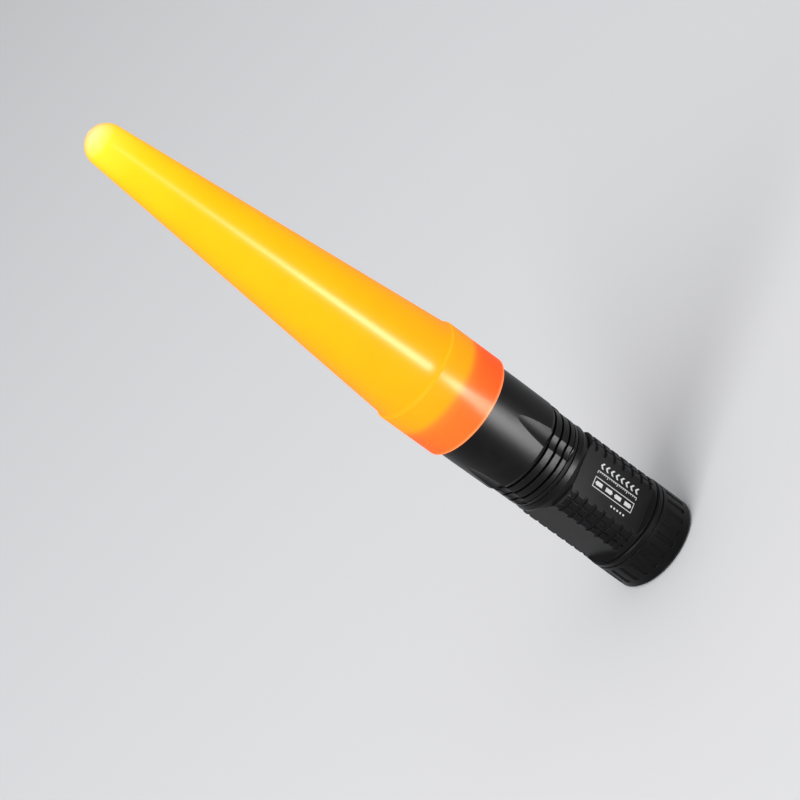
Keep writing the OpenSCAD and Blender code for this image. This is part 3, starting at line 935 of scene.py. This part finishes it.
@dataclass
class GripMarks:
    """White marks on the flat: plain symbols in four rows, set along the grip.

    The marks' own X runs down the grip and their Y across it, in millimetres from the middle.

    Attributes:
        flat_y_mm: where the flat is.
        middle_mm: the marks' middle up the torch.
        length_mm: how far they run.
        thickness_mm: the print's thickness.
        sunk_mm: how far it sinks into the flat.
        line_mm: width of the lines.
        arrows_y_mm: the chevrons' row.
        arrow_count: how many there are.
        arrow_pitch_mm: their spacing.
        arrow_half_mm: half a chevron's height.
        arrow_deep_mm: how far its point stands out.
        arrow_line_mm: the width of its stroke.
        rule_y_mm: the rule's row.
        rule_line_mm: the width of its line.
        tick_gaps: gaps between its ticks.
        tick_mm: a tick's length.
        fifth_tick_mm: the length of every fifth.
        frame_y_mm: the frame's row.
        frame_half_mm: half its height, to the middle of its lines.
        frame_side_mm: length of the lines at its ends.
        block_count: how many blocks it holds.
        block_first_mm: from its end to the first block's middle.
        block_pitch_mm: the blocks' spacing.
        block_mm: a block's width and height.
        nub_mm: width and height of the nub at a block's end.
        dots_y_mm: the dots' row.
        dot_count: how many dots there are.
        dot_first_mm: where the first is.
        dot_pitch_mm: their spacing.
        dot_r_mm: a dot's radius.
    """

    flat_y_mm: float = -16.8
    middle_mm: float = 36.6
    length_mm: float = 20.6
    thickness_mm: float = 0.03
    sunk_mm: float = 0.01
    line_mm: float = 0.3
    arrows_y_mm: float = 5.6
    arrow_count: int = 8
    arrow_pitch_mm: float = 2.6
    arrow_half_mm: float = 1.2
    arrow_deep_mm: float = 1.0
    arrow_line_mm: float = 0.9
    rule_y_mm: float = 3.1
    rule_line_mm: float = 0.28
    tick_gaps: int = 20
    tick_mm: float = 0.6
    fifth_tick_mm: float = 1.1
    frame_y_mm: float = -1.6
    frame_half_mm: float = 2.05
    frame_side_mm: float = 3.9
    block_count: int = 4
    block_first_mm: float = 2.9
    block_pitch_mm: float = 4.95
    block_mm: Point2 = (3.1, 1.7)
    nub_mm: Point2 = (0.4, 0.8)
    dots_y_mm: float = -6.2
    dot_count: int = 5
    dot_first_mm: float = 1.2
    dot_pitch_mm: float = 1.6
    dot_r_mm: float = 0.45

    def place(self) -> Matrix:
        """Lays the marks on the flat, with their Z out of it."""
        turn = Matrix(((0, 1, 0, 0), (0, 0, -1, 0), (-1, 0, 0, 0), (0, 0, 0, 1)))
        return Matrix.Translation((0, self.flat_y_mm * MM, self.middle_mm * MM)) @ turn

    def bar(self, x: float, y: float, width: float, height: float) -> list[Point2]:
        """Gives a rectangle about a point.

        Args:
            x: the middle along the grip.
            y: the middle across it.
            width: the length along the grip.
            height: the length across it.

        Returns:
            The corners.
        """
        return [(x + a * width / 2, y + b * height / 2) for a, b in SQUARE]

    def arrows(self) -> Iterable[list[Point2]]:
        """Draws a row of chevrons that point up the grip.

        Yields:
            Each chevron's corners.
        """
        y, half, deep, line = self.arrows_y_mm, self.arrow_half_mm, self.arrow_deep_mm, self.arrow_line_mm
        for k in range(self.arrow_count):
            x = half - self.length_mm / 2 + k * self.arrow_pitch_mm
            yield [(x + line, y + half), (x, y + half), (x - deep, y), (x, y - half), (x + line, y - half),
                   (x - deep + line, y)]

    def rule(self) -> Iterable[list[Point2]]:
        """Draws a line with short ticks and a longer one at every fifth.

        Yields:
            The corners of the line and of each tick.
        """
        yield self.bar(0, self.rule_y_mm, self.length_mm, self.rule_line_mm)
        run = self.length_mm - self.line_mm
        for k in range(self.tick_gaps + 1):
            tall = self.tick_mm if k % 5 else self.fifth_tick_mm
            yield self.bar(k * run / self.tick_gaps - run / 2, self.rule_y_mm - tall / 2, self.line_mm, tall)

    def blocks(self) -> Iterable[list[Point2]]:
        """Draws a frame round a row of blocks that have a nub at one end.

        Yields:
            The corners of each side, block and nub.
        """
        y, line, length = self.frame_y_mm, self.line_mm, self.length_mm
        for side in (-1, 1):
            yield self.bar(0, y + side * self.frame_half_mm, length, line)
            yield self.bar(side * (length - line) / 2, y, line, self.frame_side_mm)
        (width, height), (nub, nub_height) = self.block_mm, self.nub_mm
        for k in range(self.block_count):
            x = self.block_first_mm - length / 2 + k * self.block_pitch_mm
            way = 1 if k % 2 else -1
            yield self.bar(x, y, width, height)
            yield self.bar(x + way * (width + nub) / 2, y, nub, nub_height)

    def dots(self) -> Iterable[list[Point2]]:
        """Draws a row of dots.

        Yields:
            The corners of each dot, which has twelve sides.
        """
        for k in range(self.dot_count):
            x = self.dot_first_mm + k * self.dot_pitch_mm
            yield arc((x, self.dots_y_mm), self.dot_r_mm, 0, 330, 11)

    def build(self) -> None:
        """Makes the marks as one thin piece."""
        shape = bmesh.new()
        place = self.place() @ Matrix.Translation((0, 0, -self.sunk_mm * MM))
        for outline in (*self.arrows(), *self.rule(), *self.blocks(), *self.dots()):
            flat = [(x * MM, y * MM) for x, y in outline]
            Maker.plate(shape, flat, (self.thickness_mm + self.sunk_mm) * MM, place)
        Maker.piece("grip_marks", shape, MARKING, Body.TORCH)


@dataclass
class SideSwitch:
    """The rubber button on the head's side, dished for the thumb.

    Attributes:
        rim_mm: the button's radius.
        foot_mm: radius of the flange that keeps it in.
        flange_mm: height of the flange's top above the underside.
        stem_r_mm: radius of the stem under it.
        stem_mm: the stem's length.
        edge_mm: rounding of the rim.
        dish_mm: depth of the dish.
        nub_r_mm: radius of the boot's nub, which presses the switch.
        nub_mm: the nub's height.
        web_mm: thickness of the boot's web.
        boot_wall_mm: thickness of its wall.
        boot_slope_mm: how far in and up the web's slope runs from the wall.
        boot_foot_mm: how far out and up the nub's slope runs.
        boot_round_mm: rounding of the boot's corners.
        dot_r_mm: radius of a raised dot.
        dot_rings: how many dots stand on each ring, and the ring's radius.
    """

    rim_mm: float = 5.5
    foot_mm: float = 5.9
    flange_mm: float = 0.7
    stem_r_mm: float = 3.0
    stem_mm: float = 0.15
    edge_mm: float = 0.6
    dish_mm: float = 0.3
    nub_r_mm: float = 2.0
    nub_mm: float = 0.6
    web_mm: float = 0.4
    boot_wall_mm: float = 1.2
    boot_slope_mm: Point2 = (0.8, 0.6)
    boot_foot_mm: Point2 = (0.6, 0.3)
    boot_round_mm: float = 0.15
    dot_r_mm: float = 0.5
    dot_rings: tuple[tuple[int, float], ...] = ((1, 0.0), (6, 1.75), (12, 3.45))

    def outline(self, low: float, high: float) -> list[Point2]:
        """Gives the button's section, with its axis as height.

        Args:
            low: distance of its underside from the torch's axis.
            high: distance of its top.

        Returns:
            The (radius, distance) points round the section.
        """
        rim, foot, stem, edge, deep = metres(
            self.rim_mm, self.foot_mm, self.stem_r_mm, self.edge_mm, self.dish_mm
        )
        ledge, flange = low + self.stem_mm * MM, low + self.flange_mm * MM
        parts = [k / 8 for k in range(1, 9)]
        dish = [(rim * 0.86 * (1 - part), high - deep * math.sin(math.pi / 2 * part)) for part in parts]
        return [
            (0, low), (stem, low), (stem, ledge), (foot, ledge), (foot, flange), (rim, flange + 0.05 * MM),
            *arc((rim - edge, high - edge - 0.05 * MM), edge, 0, 80, 6), *dish,
        ]

    def boot(self, middle: float) -> None:
        """Makes the rubber boot under the button, which on the real torch gives as the button goes in.

        Args:
            middle: the button's height up the torch.
        """
        low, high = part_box("switch_seal")
        nub, rim = self.nub_r_mm * MM, (high.z - low.z) / 2
        inside, top = rim - self.boot_wall_mm * MM, high.x - self.nub_mm * MM
        under = top - self.web_mm * MM
        slope_in, slope_up = metres(*self.boot_slope_mm)
        foot_out, foot_up = metres(*self.boot_foot_mm)
        profile = [
            (0, under), (inside - slope_in, under), (inside, low.x + slope_up), (inside, low.x), (rim, low.x),
            (rim, top), (nub + foot_out, top), (nub, top + foot_up), (nub, high.x), (0, high.x),
        ]
        shape = bmesh.new()
        Maker.lathe(shape, Maker.rounded(profile, self.boot_round_mm * MM, 3), 48, facing_x(middle))
        made = Maker.piece("switch_boot", shape, RUBBER, Body.TORCH, ["switch_seal"])
        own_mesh(made)

    def build(self) -> None:
        """Makes the button with its raised dots and dresses what is round and under it."""
        low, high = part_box("switch_button")
        middle = (low.z + high.z) / 2
        shape = bmesh.new()
        Maker.lathe(shape, self.outline(low.x, high.x), 72, facing_x(middle))
        size, floor = self.dot_r_mm * MM, high.x - self.dish_mm * MM
        dome = [(size * math.cos(a), size * 0.7 * math.sin(a)) for a in (0, 0.5, 1.0, math.pi / 2)]
        dot = [(0, -size * 0.3), (size, -size * 0.3), *dome]
        for count, ring in self.dot_rings:
            for angle in (2 * math.pi * k / count for k in range(count)):
                spot = (ring * MM * math.cos(angle), ring * MM * math.sin(angle), floor)
                Maker.lathe(shape, dot, 14, facing_x(middle) @ Matrix.Translation(spot))
        Maker.piece("switch_thumb_pad", shape, BUTTON, Body.SWITCH, ["switch_button"])
        self.boot(middle)
        dress(switch_ring=BLACK, tact_switch=CHIP, tact_plunger=KEY, switch_board=CIRCUIT,
              switch_leads=YELLOW_WIRE)


@dataclass
class LightEngine:
    """The light, its reflector and lens, and the driver behind them.

    Attributes:
        focus_mm: height of the light, where the bowl has its focus.
        mouth_mm: the bowl's radius at its mouth.
        throat_mm: its radius at the light.
        skin_mm: the bowl's outside, out and down from its inside.
        rim_mm: height of the rim under the lens.
        lip_mm: how far the rim's underside starts outside the mouth.
        neck_mm: radius and height of the foot round the light.
        rows: rings of faces up the bowl.
        chip_mm: half the glowing chip's side.
        chip_thick_mm: its thickness.
        wire_r_mm: radius of the light's wires.
        wire_x_mm: their distance from the axis.
        bend_mm: radius of their bends.
        solder_mm: radius of the solder on them, and how far past their ends its middle is.
        coil_at_mm: the coil's place on the driver.
        coil_r_mm: its radius to the middle of the wire.
        coil_wire_mm: the wire's radius.
        coil_pitch_mm: the winding's rise in a turn.
        coil_foot_mm: its first turn's height above the board.
        coil_turns: how many turns it has.
        chips_mm: the corners of each chip: left, front, right and back.
        leg_mm: half width, length and thickness of a chip's leg.
        legs: how many legs a side has.
    """

    focus_mm: float = 90.0
    mouth_mm: float = 16.0
    throat_mm: float = 4.5
    skin_mm: Point2 = (1.2, 0.6)
    rim_mm: float = 2.0
    lip_mm: float = 0.7
    neck_mm: Point2 = (6.2, 0.9)
    rows: int = 48
    chip_mm: float = 1.1
    chip_thick_mm: float = 0.12
    wire_r_mm: float = 0.6
    wire_x_mm: float = 9.2
    bend_mm: float = 1.3
    solder_mm: Point2 = (0.95, 0.3)
    coil_at_mm: Point2 = (-4.0, -3.5)
    coil_r_mm: float = 3.45
    coil_wire_mm: float = 0.2
    coil_pitch_mm: float = 0.42
    coil_foot_mm: float = 1.4
    coil_turns: int = 6
    chips_mm: tuple[tuple[float, float, float, float], ...] = (
        (2, -8, 7, -4), (2.2, 1.2, 6.2, 5.2), (-2, 6, 1, 9),
    )
    leg_mm: tuple[float, float, float] = (0.18, 0.6, 0.25)
    legs: int = 4

    def reflector(self) -> None:
        """Makes the bright bowl: a parabola about the light, with a rim that the lens sits on."""
        low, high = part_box("reflector")
        mouth, throat, depth = self.mouth_mm * MM, self.throat_mm * MM, high.z - self.focus_mm * MM
        focal = (math.hypot(depth, mouth) - depth) / 2
        radii = [throat + (mouth - throat) * k / self.rows for k in range(self.rows + 1)]
        bowl = [(r, self.focus_mm * MM - focal + r * r / (4 * focal)) for r in radii]
        out, down = metres(*self.skin_mm)
        skin = [(r + out, z - down) for r, z in reversed(bowl[self.rows // 4:-1])]
        rim, ledge = high.x, high.z - self.rim_mm * MM
        neck, step = metres(*self.neck_mm)
        profile = [
            *bowl, (rim, high.z), (rim, ledge), (mouth + self.lip_mm * MM, ledge), *skin,
            (neck, low.z + step), (neck, low.z), (throat, low.z),
        ]
        shape = bmesh.new()
        Maker.lathe(shape, profile, 144)
        Maker.piece("reflector_bowl", shape, MIRROR, Body.TORCH, ["reflector"], smooth=30)

    def light(self) -> None:
        """Makes the glowing chip under the clear dome."""
        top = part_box("led_base")[1].z
        half = self.chip_mm * MM
        shape = bmesh.new()
        square = [(a * half, b * half) for a, b in SQUARE]
        Maker.plate(shape, square, self.chip_thick_mm * MM, Matrix.Translation((0, 0, top)))
        Maker.piece("led_chip", shape, PHOSPHOR, Body.TORCH)
        dress(led_dome=SILICONE, led_base=CERAMIC, led_board=ALUMINIUM, led_spacer=NYLON)

    def wires(self) -> None:
        """Bends the light's two wires over onto their pads and solders them."""
        low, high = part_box("led_leads")
        r, bend, x = metres(self.wire_r_mm, self.bend_mm, self.wire_x_mm)
        top, end = high.z - r, x - 2 * bend
        blob, past = metres(*self.solder_mm)
        wires, blobs = bmesh.new(), bmesh.new()
        for side in (-1, 1):
            turn = arc((x - bend, top - bend), bend, 0, 90, 8)
            path = [Vector((side * x, 0, low.z)), *(Vector((side * px, 0, pz)) for px, pz in turn)]
            path.append(Vector((side * end, 0, top)))
            Maker.tube(wires, path, r)
            joint = Matrix.Translation((side * (end - past), 0, top - r))
            Maker.lathe(blobs, [(0, 0), *arc((0, 0), blob, 0, 90, 6)], 20, joint)
        Maker.piece("led_wires", wires, RED_WIRE, Body.TORCH, ["led_leads"])
        Maker.piece("led_solder", blobs, SOLDER, Body.TORCH)

    def driver(self) -> None:
        """Winds the coil and gives the chips their legs."""
        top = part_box("driver_board")[1].z
        x, y = metres(*self.coil_at_mm)
        radius, foot, pitch = self.coil_r_mm * MM, top + self.coil_foot_mm * MM, self.coil_pitch_mm * MM
        steps = 24
        turns = [k / steps for k in range(self.coil_turns * steps + 1)]
        path = [
            Vector((x + radius * math.cos(2 * math.pi * turn), y + radius * math.sin(2 * math.pi * turn),
                    foot + pitch * turn))
            for turn in turns
        ]
        winding, legs = bmesh.new(), bmesh.new()
        Maker.tube(winding, path, self.coil_wire_mm * MM, 8)
        Maker.piece("coil_winding", winding, COPPER, Body.TORCH)
        half, length, thick = metres(*self.leg_mm)
        level = Matrix.Translation((0, 0, top))
        for sides in self.chips_mm:
            left, front, right, back = metres(*sides)
            for k in range(self.legs):
                spot = left + (right - left) * (k + 0.5) / self.legs
                for a, b in ((front - length, front), (back, back + length)):
                    outline = [(spot - half, a), (spot + half, a), (spot + half, b), (spot - half, b)]
                    Maker.plate(legs, outline, thick, level)
        Maker.piece("chip_legs", legs, SOLDER, Body.TORCH)
        dress(driver_board=CIRCUIT, driver_chips=CHIP, driver_coil=FERRITE, driver_capacitors=TAN,
              driver_posts=BRASS, battery_leads=BLACK_WIRE)

    def build(self) -> None:
        """Builds the light engine from the lens back."""
        dress(front_lens=GLASS, lens_seal=RUBBER, light_plate=ALUMINIUM, plate_screws=STEEL)
        self.reflector()
        self.light()
        self.wires()
        self.driver()


@dataclass
class ContactSprings:
    """Cone-shaped contact springs wound from round wire, with flat end turns.

    Attributes:
        wire_mm: the wire's radius.
        foot_r_mm: radius of the flat turn on the plate.
        head_r_mm: radius of the flat turn on the cell.
        turns: how many turns the wire makes.
        foot_part: the part of the wire that lies flat on the plate.
        rise_part: the part that climbs.
        steps: steps in a turn.
    """

    wire_mm: float = 0.35
    foot_r_mm: float = 5.0
    head_r_mm: float = 2.8
    turns: float = 3.6
    foot_part: float = 0.2
    rise_part: float = 0.62
    steps: int = 32

    def coil(self, shape: bmesh.types.BMesh, place: Matrix, height: float) -> None:
        """Winds one spring.

        Args:
            shape: the bmesh to add to.
            place: the middle of its foot, with Z towards its head.
            height: its height as fitted.
        """
        wire, count = self.wire_mm * MM, round(self.turns * self.steps)
        path = []
        for k in range(count + 1):
            part = k / count
            rise = min(1.0, max(0.0, (part - self.foot_part) / self.rise_part))
            radius = (self.foot_r_mm + (self.head_r_mm - self.foot_r_mm) * rise) * MM
            angle = 2 * math.pi * self.turns * part
            path.append(place @ Vector((radius * math.cos(angle), radius * math.sin(angle),
                                        wire + (height - 2 * wire) * rise)))
        Maker.tube(shape, path, wire, 10)

    def pair(self, name: str, node: str, body: Body, foot_up: bool, sites: Sequence[Point2]) -> None:
        """Makes the two springs of one plate.

        Args:
            name: the piece's name.
            node: the solid that it stands for.
            body: the body it rides on.
            foot_up: True where the springs hang from the plate.
            sites: the middles of the cells that they press on.
        """
        low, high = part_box(node)
        shape = bmesh.new()
        for x, y in sites:
            level = high.z if foot_up else low.z
            flip = Matrix.Rotation(math.pi if foot_up else 0, 4, "X")
            self.coil(shape, Matrix.Translation((x, y, level)) @ flip, high.z - low.z)
        Maker.piece(name, shape, SPRING, body, [node])

    def build(self) -> None:
        """Makes the springs at both ends of the cells."""
        middles = {i: (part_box(f"cell_{i}")[0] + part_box(f"cell_{i}")[1]) / 2 for i in range(1, 5)}
        self.pair("front_coils", "front_springs", Body.TORCH, True, [tuple(middles[i].xy) for i in (2, 4)])
        self.pair("tail_coils", "tail_springs", Body.CONTACTS, False, [tuple(middles[i].xy) for i in (1, 3)])


@dataclass
class Cells:
    """The four cells: drawn cans in shrunk-on sleeves, with a white ring round each button.

    Attributes:
        count: how many cells there are.
        button_r_mm: the button's radius.
        button_mm: its height.
        button_round_mm: rounding of its edge.
        button_foot_mm: how far out and up the fillet at its foot runs.
        round_mm: rounding of the can's ends.
        foot_mm: radii where the foot's hollow starts and ends.
        hollow_mm: the hollow's depth.
        crimp_mm: distances from the shoulder of the crimp's top, middle and bottom.
        crimp_deep_mm: its depth.
        lip_r_mm: radius that the sleeve turns in to.
        ring_mm: thickness of the white ring.
        ring_gap_mm: its gaps to the button and to the sleeve's lip.
        colour: the sleeve's colour.
    """

    count: int = 4
    button_r_mm: float = 2.6
    button_mm: float = 1.0
    button_round_mm: float = 0.3
    button_foot_mm: Point2 = (0.5, 0.15)
    round_mm: float = 0.7
    foot_mm: Point2 = (4.4, 4.8)
    hollow_mm: float = 0.15
    crimp_mm: tuple[float, float, float] = (1.6, 2.1, 2.6)
    crimp_deep_mm: float = 0.35
    lip_r_mm: float = 5.6
    ring_mm: float = 0.1
    ring_gap_mm: Point2 = (0.6, 0.1)
    colour: Colour = srgb(34, 92, 62)

    def can(self, radius: float, body: float) -> list[Point2]:
        """Gives a can's section: a rounded foot, a crimped shoulder and a raised button.

        Args:
            radius: the can's radius.
            body: its length without the button.

        Returns:
            The (radius, height) points round the section.
        """
        r, button, knob = metres(self.round_mm, self.button_mm, self.button_r_mm)
        hollow, edge, deep = metres(self.hollow_mm, self.button_round_mm, self.crimp_deep_mm)
        inside, outside = metres(*self.foot_mm)
        foot_out, foot_up = metres(*self.button_foot_mm)
        top, middle, bottom = (body - value for value in metres(*self.crimp_mm))
        return [
            (0, hollow), (inside, hollow), (outside, 0), *arc((radius - r, r), r, -90, 0, 6),
            (radius, bottom), (radius - deep, middle), (radius, top),
            *arc((radius - r, body - r), r, 0, 90, 6), (knob + foot_out, body), (knob, body + foot_up),
            *arc((knob - edge, body + button - edge), edge, 0, 90, 4), (0, body + button),
        ]

    def sleeve(self, radius: float, body: float, wall: float) -> list[Point2]:
        """Gives a sleeve's section: a thin tube that turns in over both ends.

        Args:
            radius: the sleeve's radius.
            body: its length.
            wall: its thickness.

        Returns:
            The (radius, height) points round the section.
        """
        r, lip = self.round_mm * MM + wall, self.lip_r_mm * MM
        outer = [(lip, -wall * 0.4), *arc((radius - r, r - wall * 0.4), r, -90, 0, 6)]
        outer += [*arc((radius - r, body - r + wall * 0.4), r, 0, 90, 6), (lip, body + wall * 0.4)]
        inner = [(lip, body), *arc((radius - r, body - r + wall), r - wall, 90, 0, 6)]
        inner += [*arc((radius - r, r - wall), r - wall, 0, -90, 6), (lip, 0)]
        return outer + inner

    def build(self) -> None:
        """Makes the cells, two one way up and two the other."""
        gap, lip_gap, rise = metres(*self.ring_gap_mm, self.ring_mm)
        for i in range(1, self.count + 1):
            low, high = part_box(f"cell_sleeve_{i}")
            can_low, can_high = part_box(f"cell_{i}")
            up = can_high.z > high.z + 0.5 * self.button_mm * MM
            head, foot = (high.z, low.z) if up else (low.z, high.z)
            middle, body, radius = (low + high) / 2, high.z - low.z, (high.x - low.x) / 2
            can_radius = (can_high.x - can_low.x) / 2
            flip = Matrix.Rotation(0 if up else math.pi, 4, "X")
            place = Matrix.Translation((middle.x, middle.y, foot)) @ flip
            can, sleeve, ring = bmesh.new(), bmesh.new(), bmesh.new()
            Maker.lathe(can, self.can(can_radius, body), 72, place)
            Maker.lathe(sleeve, self.sleeve(radius, body, radius - can_radius), 72, place)
            inner, outer, above = self.button_r_mm * MM + gap, self.lip_r_mm * MM - lip_gap, body + rise
            Maker.lathe(ring, [(inner, body), (outer, body), (outer, above), (inner, above)], 48, place)
            wrap = Sleeve(f"cell_wrap_{'up' if up else 'down'}", self.colour, roughness=0.3,
                          start=head, end=foot, slot="cell_wrap")
            Maker.piece(f"cell_can_{i}", can, CAN, Body.TORCH, [f"cell_{i}"])
            Maker.piece(f"cell_wrap_{i}", sleeve, wrap, Body.TORCH, [f"cell_sleeve_{i}"])
            Maker.piece(f"cell_ring_{i}", ring, NYLON, Body.TORCH)


@dataclass
class Torch:
    """The machined body, its bezel, and the cells' contacts at the head end.

    Attributes:
        marks: the print on the flat.
        switch: the side button.
        engine: the light and its driver.
        ring_mm: radius of the cord that makes the tail's sealing ring.
    """

    marks: GripMarks = field(default_factory=GripMarks)
    switch: SideSwitch = field(default_factory=SideSwitch)
    engine: LightEngine = field(default_factory=LightEngine)
    ring_mm: float = 0.5

    def tail_ring(self) -> None:
        """Makes the round sealing ring in its groove above the thread."""
        low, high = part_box("tail_seal")
        radius = self.ring_mm * MM
        shape = bmesh.new()
        Maker.lathe(shape, arc((high.x - radius, (low.z + high.z) / 2), radius, 0, 340, 17), 128)
        Maker.piece("tail_sealing_ring", shape, RUBBER, Body.TORCH, ["tail_seal"])

    def build(self) -> None:
        """Builds the torch from the outside in."""
        dress(torch_body=BLACK, bezel_ring=BEZEL, front_contact_board=CIRCUIT, front_contact_pads=BRASS,
              front_board_screw=STEEL)
        self.marks.build()
        self.switch.build()
        self.engine.build()
        self.tail_ring()


class Tail:
    """The tail cap with its contact plate."""

    def build(self) -> None:
        """Dresses the tail's pieces."""
        dress(tail_cap=BLACK, tail_pivot_screw=STEEL, tail_washer=NYLON, tail_contact_plate=CIRCUIT,
              tail_contact_pads=BRASS, tail_key_pins=KEY)


@dataclass(frozen=True)
class Strip:
    """A long low light that faces up and shows only as a highlight on gloss.

    Attributes:
        name: the light's name.
        watts: its power.
        width: its width.
        start: how far from the torch it starts.
        end: how far from the torch it ends.
    """

    name: str
    watts: float
    width: float
    start: float
    end: float


@dataclass(frozen=True)
class Softbox:
    """A large soft square light that faces the baton.

    Attributes:
        name: the light's name.
        watts: its power.
        size: its side.
        place: where it hangs.
    """

    name: str
    watts: float
    size: float
    place: tuple[float, float, float]


@dataclass
class Studio:
    """The floor, the lights and the camera.

    Attributes:
        floor_size: the floor's side.
        room: the room's colour.
        room_strength: how much light the room gives.
        lit_z: the height that the softboxes face.
        boxes: the softboxes.
        strip_turn: the strips' turn about the torch in degrees.
        strip_height: their height over the floor.
        strips: the strips.
        aim_mm: the point that the camera looks at.
        azimuth: where the camera stands round the torch, in degrees.
        elevation: how high it looks down from, in degrees.
        roll: its roll in degrees.
        distance: its distance.
        lens_mm: its focal length.
        sensor_mm: its sensor's width.
        clip: the nearest and the farthest that it sees.
    """

    floor_size: float = 12.0
    room: Colour = (0.97, 0.98, 1.0, 1)
    room_strength: float = 0.38
    lit_z: float = 0.14
    boxes: tuple[Softbox, ...] = (
        Softbox("key", 80, 2.0, (-2.2, -1.0, 2.3)), Softbox("fill", 4, 2.0, (2.2, 1.6, 1.8)),
        Softbox("top", 19, 2.6, (0.1, -0.2, 3.0)),
    )
    strip_turn: float = -4.6
    strip_height: float = 0.003
    strips: tuple[Strip, ...] = (
        Strip("strip_near", 5.2, 0.12, 0.13, 0.48), Strip("strip_far", 46, 0.14, 0.48, 1.25),
    )
    aim_mm: tuple[float, float, float] = (-7.65, 13.02, 121.1)
    azimuth: float = -25.2
    elevation: float = 23.5
    roll: float = 54.3
    distance: float = 1.0
    lens_mm: float = 119.2
    sensor_mm: float = 36.0
    clip: Point2 = (0.05, 60.0)

    def floor(self) -> None:
        """Lays a plain pale floor."""
        shape = bmesh.new()
        half = self.floor_size / 2
        shape.faces.new([shape.verts.new((a * half, b * half, 0)) for a, b in SQUARE])
        mesh = bpy.data.meshes.new("floor")
        shape.to_mesh(mesh)
        shape.free()
        mesh.materials.append(Paper("studio_floor", srgb(224, 225, 227), roughness=0.8, specular=0.1,
                                    grain=900, grain_depth=0.02, edge=0.0).build())
        made = bpy.data.objects.new("floor", mesh)
        bpy.context.scene.collection.objects.link(made)
        made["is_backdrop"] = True

    def light(self, name: str, watts: float, size: Point2, place: Vector, target: Vector) -> bpy.types.Object:
        """Hangs a soft rectangular light that the camera doesn't see.

        Args:
            name: the light's name.
            watts: its power.
            size: its width and height.
            place: where it hangs.
            target: the point that it faces.

        Returns:
            The light.
        """
        data = bpy.data.lights.new(name, "AREA")
        data.shape = "RECTANGLE"
        data.size, data.size_y = size
        data.energy = watts
        made = bpy.data.objects.new(name, data)
        made.location = place
        made.rotation_mode = "QUATERNION"
        made.rotation_quaternion = (target - place).to_track_quat("-Z", "Y")
        made.visible_camera = False
        bpy.context.scene.collection.objects.link(made)
        return made

    def lights(self) -> None:
        """Hangs the softboxes and lays the low strips that draw the wand's long highlight."""
        lit = Vector((0, 0, self.lit_z))
        for box in self.boxes:
            self.light(box.name, box.watts, (box.size, box.size), Vector(box.place), lit)
        for strip in self.strips:
            self.lay(strip)

    def lay(self, strip: Strip) -> None:
        """Lays a strip on the floor, pointing away from the torch.

        Args:
            strip: the strip.
        """
        turn = math.radians(self.strip_turn)
        away = Vector((math.sin(turn), -math.cos(turn), 0))
        place = away * (strip.start + strip.end) / 2 + Vector((0, 0, self.strip_height))
        size = (strip.width, strip.end - strip.start)
        made = self.light(strip.name, strip.watts, size, place, place + Vector((0, 0, 1)))
        made.rotation_mode = "XYZ"
        made.rotation_euler = (math.pi, 0, turn)
        made.visible_diffuse = False

    def world(self) -> None:
        """Gives the room a soft even light."""
        world = bpy.data.worlds.new("studio")
        world.use_nodes = True
        back = world.node_tree.nodes["Background"]
        back.inputs["Color"].default_value = self.room
        back.inputs["Strength"].default_value = self.room_strength
        bpy.context.scene.world = world

    def camera(self) -> None:
        """Sets the camera: rolled, so that the baton lies across the picture with its tip up and left."""
        aim = Vector(self.aim_mm) * MM
        a, e = math.radians(self.azimuth), math.radians(self.elevation)
        back = Vector((math.sin(a) * math.cos(e), -math.cos(a) * math.cos(e), math.sin(e)))
        data = bpy.data.cameras.new("camera")
        data.lens, data.sensor_width = self.lens_mm, self.sensor_mm
        data.clip_start, data.clip_end = self.clip
        made = bpy.data.objects.new("camera", data)
        level = (-back).to_track_quat("-Z", "Y").to_matrix().to_4x4()
        rolled = level @ Matrix.Rotation(math.radians(-self.roll), 4, "Z")
        made.matrix_world = Matrix.Translation(aim + back * self.distance) @ rolled
        bpy.context.scene.collection.objects.link(made)
        bpy.context.scene.camera = made

    def build(self) -> None:
        """Sets the whole studio."""
        self.floor()
        self.lights()
        self.world()
        self.camera()
        bpy.context.scene.view_settings.view_transform = "Standard"


def corners() -> list[list[float]]:
    """Gives the shown model's box as plain numbers."""
    return [list(corner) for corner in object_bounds()]


def main() -> None:
    """Builds every sub-assembly in order."""
    logging.basicConfig(level=logging.INFO, format="%(name)s: %(message)s")
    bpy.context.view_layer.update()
    for assembly in (Studio(), Wand(), Torch(), Cells(), ContactSprings(), Tail()):
        LOG.info("building the %s", type(assembly).__name__)
        assembly.build()


if __name__ == "__main__":
    main()
